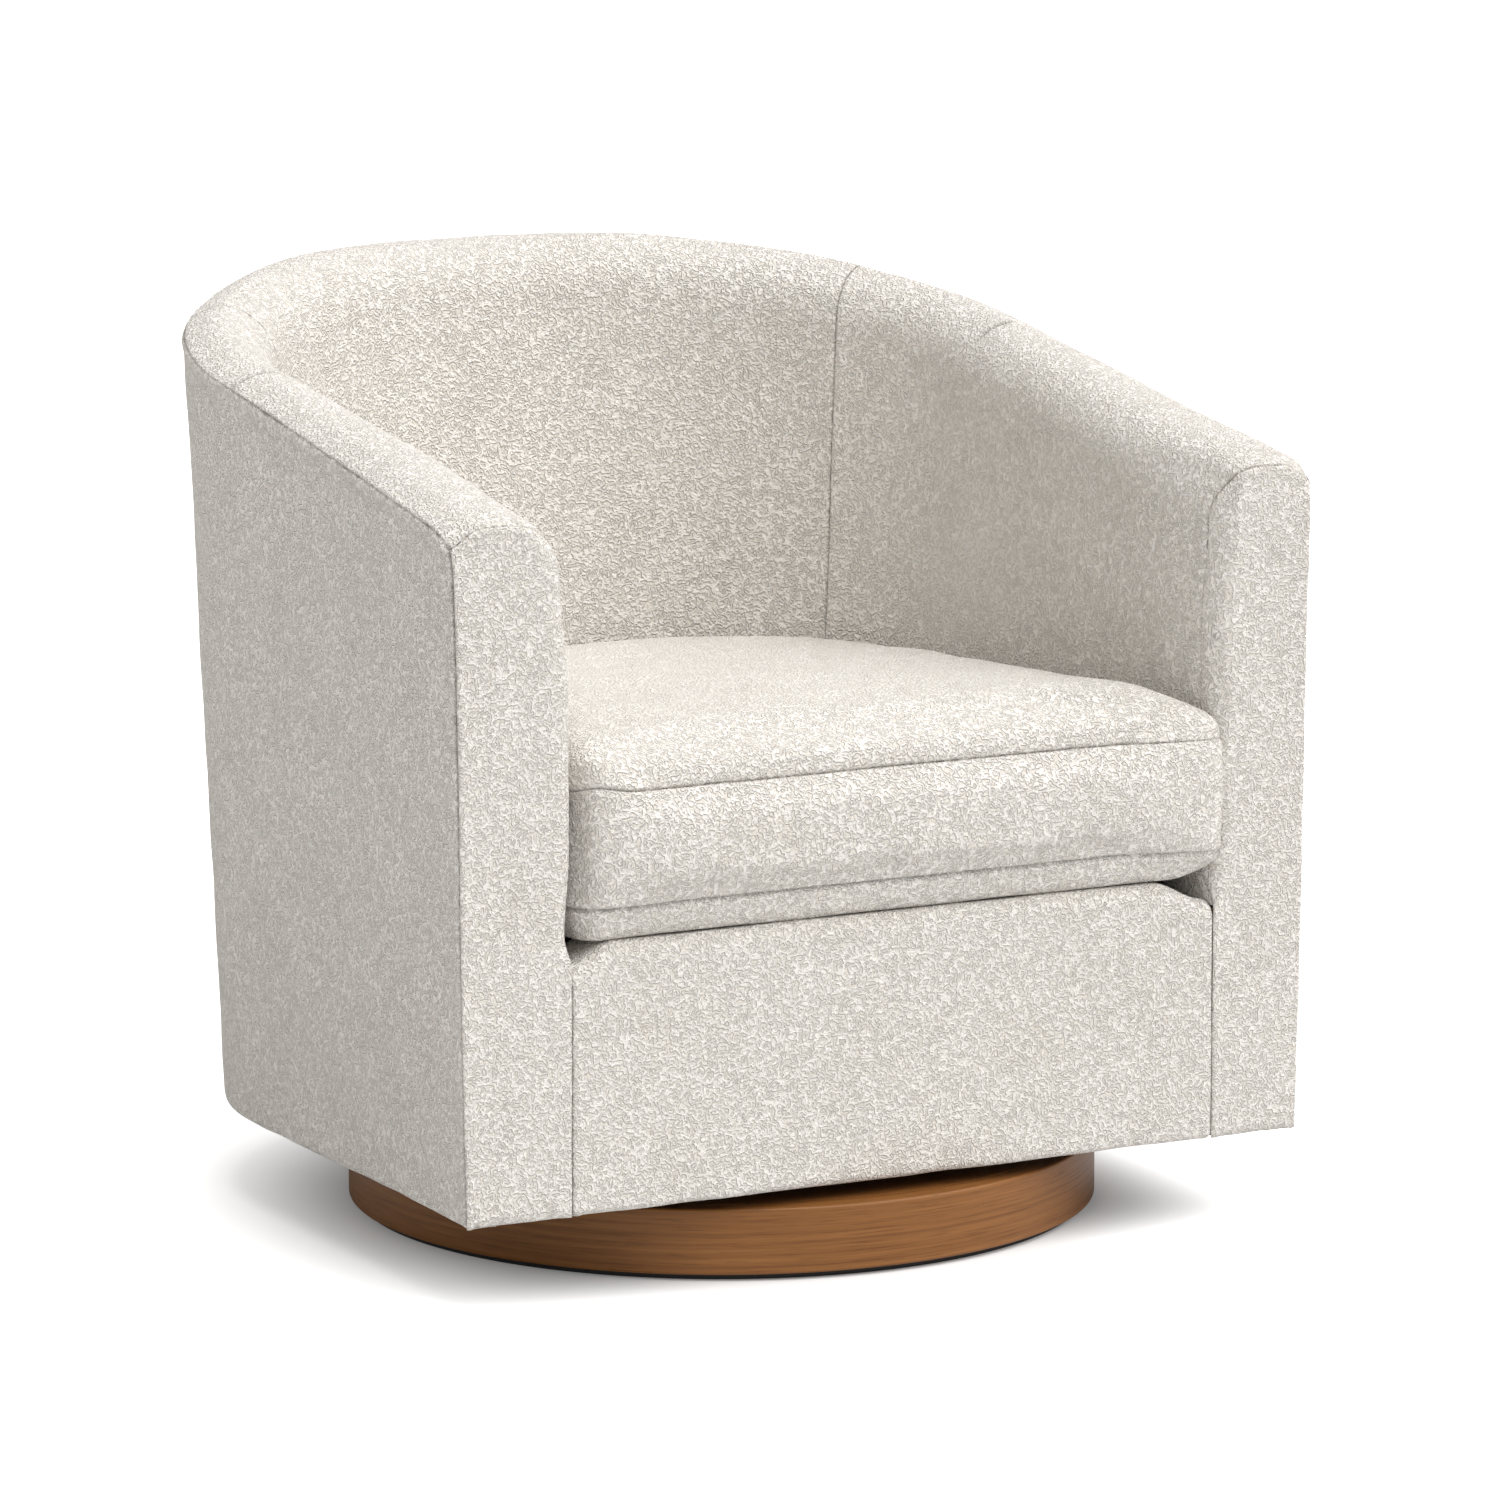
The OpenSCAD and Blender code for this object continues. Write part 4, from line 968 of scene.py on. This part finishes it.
def simulate(rings):
    """Inflates a voxel-remeshed copy of the cushion with Cloth, and returns its points at rest
    and how far each one moved, no further than SIM_CAP."""
    m, n = rings.shape[:2]
    idx = np.arange(n)
    faces = ring_faces(m, n).tolist() + [idx[::-1].tolist(), ((m - 1) * n + idx).tolist()]
    mesh = bpy.data.meshes.new("cushion_sim")
    mesh.from_pydata((rings.reshape(-1, 3) * MM).tolist(), [], faces)
    mesh.update()
    obj = placed("cushion_sim", mesh)
    with bpy.context.temp_override(active_object=obj, object=obj, selected_objects=[obj]):
        mesh.remesh_voxel_size = 0.006
        bpy.ops.object.voxel_remesh()
    rest = np.array([v.co for v in obj.data.vertices])
    mod = obj.modifiers.new("cloth", "CLOTH")
    s = mod.settings
    s.quality = 6
    s.mass = 0.4
    s.tension_stiffness = s.compression_stiffness = 22
    s.shear_stiffness = 12
    s.bending_stiffness = 2.5
    s.use_pressure = True
    s.uniform_pressure_force = 4.0
    s.effector_weights.gravity = 0
    mod.collision_settings.use_collision = False
    scene = bpy.context.scene
    for f in range(1, SIM_FRAMES + 1):
        scene.frame_set(f)
    dg = bpy.context.evaluated_depsgraph_get()
    moved = np.array([v.co for v in obj.evaluated_get(dg).to_mesh().vertices])
    bpy.data.objects.remove(obj)
    scene.frame_set(1)
    step = (moved - rest) / MM
    size = np.linalg.norm(step, axis=1, keepdims=True)
    return rest / MM, step * np.minimum(1, SIM_CAP / np.maximum(size, 1e-9))


def spread_move(points, rest, step, count=8):
    """Carries the simulated movement over to other points, from their nearest neighbours."""
    tree = tree_of(rest)
    out = np.zeros_like(points)
    for i, p in enumerate(points):
        near = tree.find_n(p, count)
        w = np.array([1 / (d + 1.5) ** 2 for _, _, d in near])
        out[i] = (w[:, None] * step[[j for _, j, _ in near]]).sum(0) / w.sum()
    return out


def inflated(base):
    """The cushion after a simulation in which it swells from a slightly smaller shape. The walls
    beside it hold it in, so it only swells freely in front and on top."""
    small = drawn_in(base, SIM_SHRINK)
    rest, step = simulate(np.concatenate([small[::2], small[-1:]]))
    move = spread_move(small.reshape(-1, 3), rest, step).reshape(base.shape)
    move *= (0.2 + 0.8 * smooth((140 - base[..., 1]) / 120))[..., None]
    rise = move[..., 2] * smooth((over_top_seam(base) - 4) / 30)
    return held_in(base, (small + move)[..., :2], base[..., 2] + rise)


def cushion():
    line, levels = whole_line(), cushion_levels()
    kinds = [kind for _, _, kind in levels]
    base = np.stack([cushion_loop(inset, h, line) for inset, h, _ in levels])
    m, n = base.shape[:2]
    base = inflated(base)
    x, y = base[..., 0], base[..., 1]
    normal = np.cross(np.roll(base, -1, 1) - np.roll(base, 1, 1), np.gradient(base, axis=0))
    normal /= np.maximum(np.linalg.norm(normal, axis=-1, keepdims=True), 1e-9)
    if ((base - np.array([*CUSHION_MIDDLE, 340])) * normal).sum(-1).mean() < 0:
        normal = -normal
    steps = np.linalg.norm(np.diff(base, axis=0), axis=-1)
    up = np.concatenate([[np.zeros(n)], np.cumsum(steps, 0)])
    first_box, last_box = kinds.index("boxing"), m - 1 - kinds[::-1].index("boxing")
    low_seam, high_seam = up[first_box - 1], up[last_box + 1]
    d_low, d_high = np.abs(up - low_seam), np.abs(up - high_seam)
    # Height of the fabric over the rings: puffed between seams, with the seams drawn in
    boxing = np.array([kind == "boxing" for kind in kinds])[:, None]
    share = np.clip((up - low_seam) / (high_seam - low_seam), 0, 1)
    puff = np.where(boxing, BOXING_PUFF * np.sin(np.pi * share) ** 0.8, 0)
    h = fabric(base, (d_low, d_high)) + puff * smooth((-y - 120) / 120)
    # At its right front corner the cushion bulges out past the arm's rounded edge
    past = smooth((-y - 254) / 20) * smooth((x - 195) / 80)
    eased = 1 - 0.65 * past
    h += seam(d_low, ridge=0.75, at=4.6, spread=3.0) * eased + seam(d_high, ridge=0.55) * eased
    # The left arm presses the boxing flat
    beside = smooth((-normal[..., 0] - 0.5) / 0.4) * smooth((-y - 60) / 160)
    pressed = BOXING_PRESSED * smooth(np.minimum(d_low, d_high) / 9)
    h -= np.where(boxing, pressed, 0.0) * beside
    surface = base + normal * h[..., None]
    bulge = past * smooth((surface[..., 2] - 272) / 30)
    surface[..., 0] += BULGE_OUT * bulge
    surface[..., 1] -= BULGE_FORWARD * bulge
    on_top = smooth((over_top_seam(base) + 6) / 18)
    surface[..., 2] -= (BULGE_DOWN + BULGE_TOP_DOWN * on_top) * bulge
    surface = settled(surface, loose=True)
    # The top seam rides up a little at the front corners
    corner_x = np.abs(x[0]).max() - 2
    to_corner = np.hypot(np.abs(x) - corner_x, y - CUSHION_FRONT_Y)
    lift = np.where(x < 0, SEAM_LIFT_LEFT, SEAM_LIFT_RIGHT) * np.exp(-((to_corner / 26) ** 2))
    surface[..., 2] += lift * np.exp(-((d_high / 30) ** 2))
    verts, faces = capped(surface)
    # Painted shade beside the cushion's seams, less where its right front corner bulges
    marks = painted_seam_shade(base, (d_low, 0.4), (d_high, 0.34)) * eased
    piece = link("seat_cushion", verts, faces, "cushion",
                 ("cushion_foam", "cushion_top_panel", "cushion_boxing", "cushion_bottom_panel"),
                 "boucle", with_back(marks, verts))
    return piece


def drawn_in(base, shrink):
    """The rings drawn in a little, as the start of the simulation."""
    out = base.copy()
    away, size = unit_from_middle(base[..., :2])
    out[..., :2] -= away * np.minimum(shrink, size)
    middle = deck_at(out[..., 1]) + HALF_CUSHION_H
    out[..., 2] -= np.clip((out[..., 2] - middle) / HALF_CUSHION_H, -1, 1) * shrink
    return out


def held_in(base, xy, z):
    """The swollen cushion, kept within the CAD's outline where the arms and back hold it."""
    away, _ = unit_from_middle(base[..., :2])
    excess = ((xy - base[..., :2]) * away).sum(-1)
    limit = 0.6 + 2.6 * smooth((-base[..., 1] - 262) / 16)
    xy = xy - away * np.maximum(excess - limit, 0)[..., None]
    return np.dstack([xy, np.maximum(z, deck_at(base[..., 1]) + 0.5)])


def capped(surface, inner=34):
    """Points and faces for a stack of closed rings whose ends are carried in to a middle point,
    by inner smaller and smaller copies of the end ring."""
    m, n = surface.shape[:2]
    verts, faces = [surface.reshape(-1, 3)], ring_faces(m, n).tolist()
    idx, total = np.arange(n), m * n
    for before, edge, flip in ((0, surface[0], True), (total - n, surface[-1], False)):
        centre = edge.mean(0)
        rise = (edge[:, 2] - deck_at(edge[:, 1])).mean()
        for f in np.linspace(1, 0, inner)[1:-1]:
            now = centre + (edge - centre) * f
            now[:, 2] = edge[:, 2] * f + (deck_at(now[:, 1]) + rise) * (1 - f)
            now[:, 2] += 0.5 * swell(now) * (1 - f)
            verts.append(now)
            quads = band(before, total, n)
            faces += (quads[:, ::-1] if flip else quads).tolist()
            before, total = total, total + n
        centre[2] = deck_at(centre[1]) + rise + 0.5 * float(swell(centre[None])[0])
        verts.append(centre[None])
        fan = np.column_stack([before + idx, before + (idx + 1) % n, np.full(n, total)])
        faces += (fan[:, ::-1] if flip else fan).tolist()
        total += 1
    return np.concatenate(verts), faces


# ---- Deck, zip and underside ----

def deck():
    """The deck under the cushion: black cloth drawn over a thin pad, which sags on its springs."""
    line = whole_line()
    levels = [(DECK_LOW_R * (1 - np.cos(a)), DECK_LOW_R * (1 - np.sin(a)) - DECK_T)
              for a in np.radians(np.linspace(90, 0, 5))]
    levels += [(DECK_TOP_R * (1 - np.cos(a)), DECK_TOP_R * (np.sin(a) - 1))
               for a in np.radians(np.linspace(0, 90, 7))]
    rings = [cushion_loop(inset, h, line, DECK_FRONT_Y, DECK_CORNER_R, DECK_GAP)
             for inset, h in levels]
    verts, faces = capped(np.stack(rings))
    x, y = verts[:, 0], verts[:, 1]
    upper = smooth((verts[:, 2] - deck_at(y) + DECK_T - DECK_LOW_R) / DECK_T)
    sag = DECK_SAG * np.exp(-((x / 190) ** 2) - ((y - 50) / 170) ** 2)
    # The springs show through as soft ridges
    printed = 0.7 * (1 - np.cos(2 * np.pi * x / SPRING_PITCH)) * smooth((230 - np.abs(x)) / 60)
    verts[:, 2] -= upper * (sag + printed + 0.6 * (1 + np.clip(ripple(verts), -1, 1)))
    piece = link("deck_padding", verts, faces, "tub", ("deck_pad", "deck_cloth"), "lining")
    return piece


def cushion_zip():
    """The closed zip at the back of the cushion: a narrow tape with its row of teeth."""
    mid = (CUSHION_LOW_SEAM_H + CUSHION_SEAM_H) / 2
    dense = np.linspace(-0.5, 0.5, 2001)
    across = cushion_loop(0, mid, dense)[:len(dense)]
    run = np.concatenate([[0], np.cumsum(np.linalg.norm(np.diff(across, axis=0), axis=1))])
    first, last = np.interp((-ZIP_HALF_L, ZIP_HALF_L), across[:, 0], run)
    line = np.interp(np.linspace(first, last, 4 * ZIP_TEETH + 1), run, dense)
    heights = np.linspace(-ZIP_H / 2, ZIP_H / 2, 17)
    base = np.stack([cushion_loop(-ZIP_OUT, mid + h, line)[:len(line)] for h in heights])
    tooth = (0.55 + 0.45 * np.cos(2 * np.pi * np.arange(len(line)) / 4))[None, :]
    near_mid = np.exp(-((heights / 2.0) ** 4))[:, None]
    into = (0, -1, 0)
    verts, faces = shell(lifted(base, ZIP_TEETH_T * tooth * near_mid, into), base, into, 0.6)
    return link("zip_tape_and_teeth", verts, faces, "cushion", ("cushion_zip",), "lining")


def underside_lining():
    """The black lining under the tub, stapled to the bottom frame round its edge and its hole."""
    back = wall(whole_line(), LINING_IN, BODY_Z)[:, :2]
    y_front = FRONT_Y + LINING_IN + 0.6
    back[:, 1] = np.maximum(back[:, 1], y_front)
    front_x = np.linspace(back[-1, 0], back[0, 0], 100)[1:-1]
    outer = np.concatenate([back, np.stack([front_x, np.full(len(front_x), y_front)], -1)])
    hole = outer * (LINING_HOLE / np.abs(outer).max(1))[:, None]
    across = np.linspace(0, 1, 25)
    rings = []
    # In over the cloth's upper side, and out again under it
    for z, f in [(LINING_Z + LINING_T, f) for f in across] + [(LINING_Z, f) for f in across[::-1]]:
        sag = LINING_SAG * np.sin(np.pi * f) * (0.6 + 0.4 * np.sin(np.arange(len(outer)) / 7))
        rings.append(np.column_stack([outer + (hole - outer) * f, z - sag]))
    quads = ring_faces(len(rings), len(outer), joined=True)[:, [0, 3, 2, 1]]
    piece = link("underside_lining", np.concatenate(rings), quads.tolist(), "tub",
                 ("dust_cover",), "lining")
    return piece


# ---- Plinth ----

def lathe(name, profile, node, slot, count):
    """A body of revolution from a closed profile of (radius, height) points."""
    p = np.array(profile, float)
    a = np.linspace(0, 2 * np.pi, count, endpoint=False)
    r, z = p[:, 0][:, None], p[:, 1][:, None]
    pts = np.stack([r * np.sin(a), -r * np.cos(a), z + 0 * a], -1)
    faces = ring_faces(len(p), count, joined=True).tolist()
    obj = link(name, pts.reshape(-1, 3), faces, "base", (node,), slot)
    bm = bmesh.new()
    bm.from_mesh(obj.data)
    finish_mesh(bm, obj)


def rounded_profile(r_in, r_out, z_lo, z_hi, radius, steps=5):
    """A ring's section with rounded corners, and points beside each corner to keep it crisp."""
    pts = []
    for cx, cz, start in ((r_out - radius, z_lo + radius, -90), (r_out - radius, z_hi - radius, 0),
                          (r_in + radius, z_hi - radius, 90), (r_in + radius, z_lo + radius, 180)):
        for a in np.radians(np.linspace(start, start + 90, steps + 1)):
            pts.append((cx + radius * math.cos(a), cz + radius * math.sin(a)))
    # Extra rings next to the corners, so that the flat faces shade flat
    out = []
    for i, p in enumerate(pts):
        out.append(p)
        q = pts[(i + 1) % len(pts)]
        gap = math.dist(p, q)
        if gap > 3 * radius:
            for share in (radius / gap, 0.5, 1 - radius / gap):
                out.append((p[0] + (q[0] - p[0]) * share, p[1] + (q[1] - p[1]) * share))
    return out


def plinth():
    # The floor ring is a real recessed ring; its near-black colour also paints the shade in the gap
    # under the plinth
    for name, node, slot, corner_r, count in (
            ("plinth_veneer", "plinth_rim", "oak", 2.2, 360),
            ("floor_glide_ring", "floor_ring", "black_base", 1.0, 240)):
        lo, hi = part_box(node)
        section = rounded_profile(hi.x / MM - PLINTH_SECTION_W, hi.x / MM, lo.z / MM, hi.z / MM,
                                  corner_r)
        lathe(name, section, node, slot, count)


# ---- Studio ----

def studio():
    scene = bpy.context.scene
    mesh = bpy.data.meshes.new("studio_floor")
    line = np.linspace(-14, 14, 24)
    mesh.from_pydata([(x, y, 0.0) for y in line for x in line], [],
                     grid_faces(len(line), len(line)).tolist())
    mesh.update()
    floor = placed("studio_floor", mesh)
    m = new_material("studio_floor")
    at = m.coords()
    # Painted light: away from the chair the floor glows a little, for camera rays only, which
    # washes out the chair's cast shadow there and keeps the floor white out to the horizon
    away = m.add("VectorMath", {0: at}, operation="LENGTH").outputs["Value"]
    painted_floor_light = m.add("MapRange", {"Value": away, "From Min": 0.22, "From Max": 0.50, "To Min": 0.0,
                              "To Max": 0.75}, interpolation_type="SMOOTHSTEP").outputs[0]
    seen = m.add("LightPath", {}).outputs["Is Camera Ray"]
    grey = m.ramp(m.noise(at, 3.0), (0.3, (0.71, 0.71, 0.71)), (0.7, (0.73, 0.73, 0.73)))
    mesh.materials.append(m.surface(
        Base_Color=grey, Roughness=0.9, Specular_IOR_Level=0.1, Emission_Color=WHITE,
        Emission_Strength=m.math("MULTIPLY", painted_floor_light, seen)))

    scene.world = bpy.data.worlds.new("studio")
    m = Nodes(scene.world)
    lit = m.add("Background", {"Color": (1.0, 0.985, 0.965), "Strength": 0.50}).outputs[0]
    backdrop = m.add("Background", {"Color": WHITE, "Strength": 0.985}).outputs[0]
    seen = m.add("LightPath", {}).outputs["Is Camera Ray"]
    m.add("OutputWorld", {"Surface": m.add("MixShader", {0: seen, 1: lit, 2: backdrop}).outputs[0]})

    for name, way, power, spread in (("key", (0.33, -0.29, 0.84), 3.5, 75),
                                     ("fill", (-0.30, -0.90, 0.60), 0.15, 90)):
        light = bpy.data.lights.new(name, "SUN")
        light.energy, light.angle = power, math.radians(spread)
        obj = placed(name, light)
        obj.location = Vector(way) * 4
        obj.rotation_euler = Vector(way).to_track_quat("Z", "Y").to_euler()
    scene.view_settings.view_transform = "Standard"


def camera():
    """The camera stands to the chair's left, a little above the seat, with a long lens."""
    azimuth, elevation, distance = 0.4956, 0.1771, 6.456
    target = Vector((0.0638, 0.070, 0.3443))
    away = Vector((-math.sin(azimuth) * math.cos(elevation),
                   -math.cos(azimuth) * math.cos(elevation), math.sin(elevation)))
    cam = bpy.data.cameras.new("camera")
    cam.sensor_width, cam.lens, cam.clip_end = 36, 192, 60
    obj = placed("camera", cam)
    obj.location = target + away * distance
    obj.rotation_euler = (-away).to_track_quat("-Z", "Y").to_euler()
    bpy.context.scene.camera = obj


plinth()
for side in (-1, 1):
    arm_cover(side)
    arm_front_piece(side)
inside_back()
outside_panel()
front_rail()
cushion()
deck()
cushion_zip()
underside_lining()
studio()
camera()
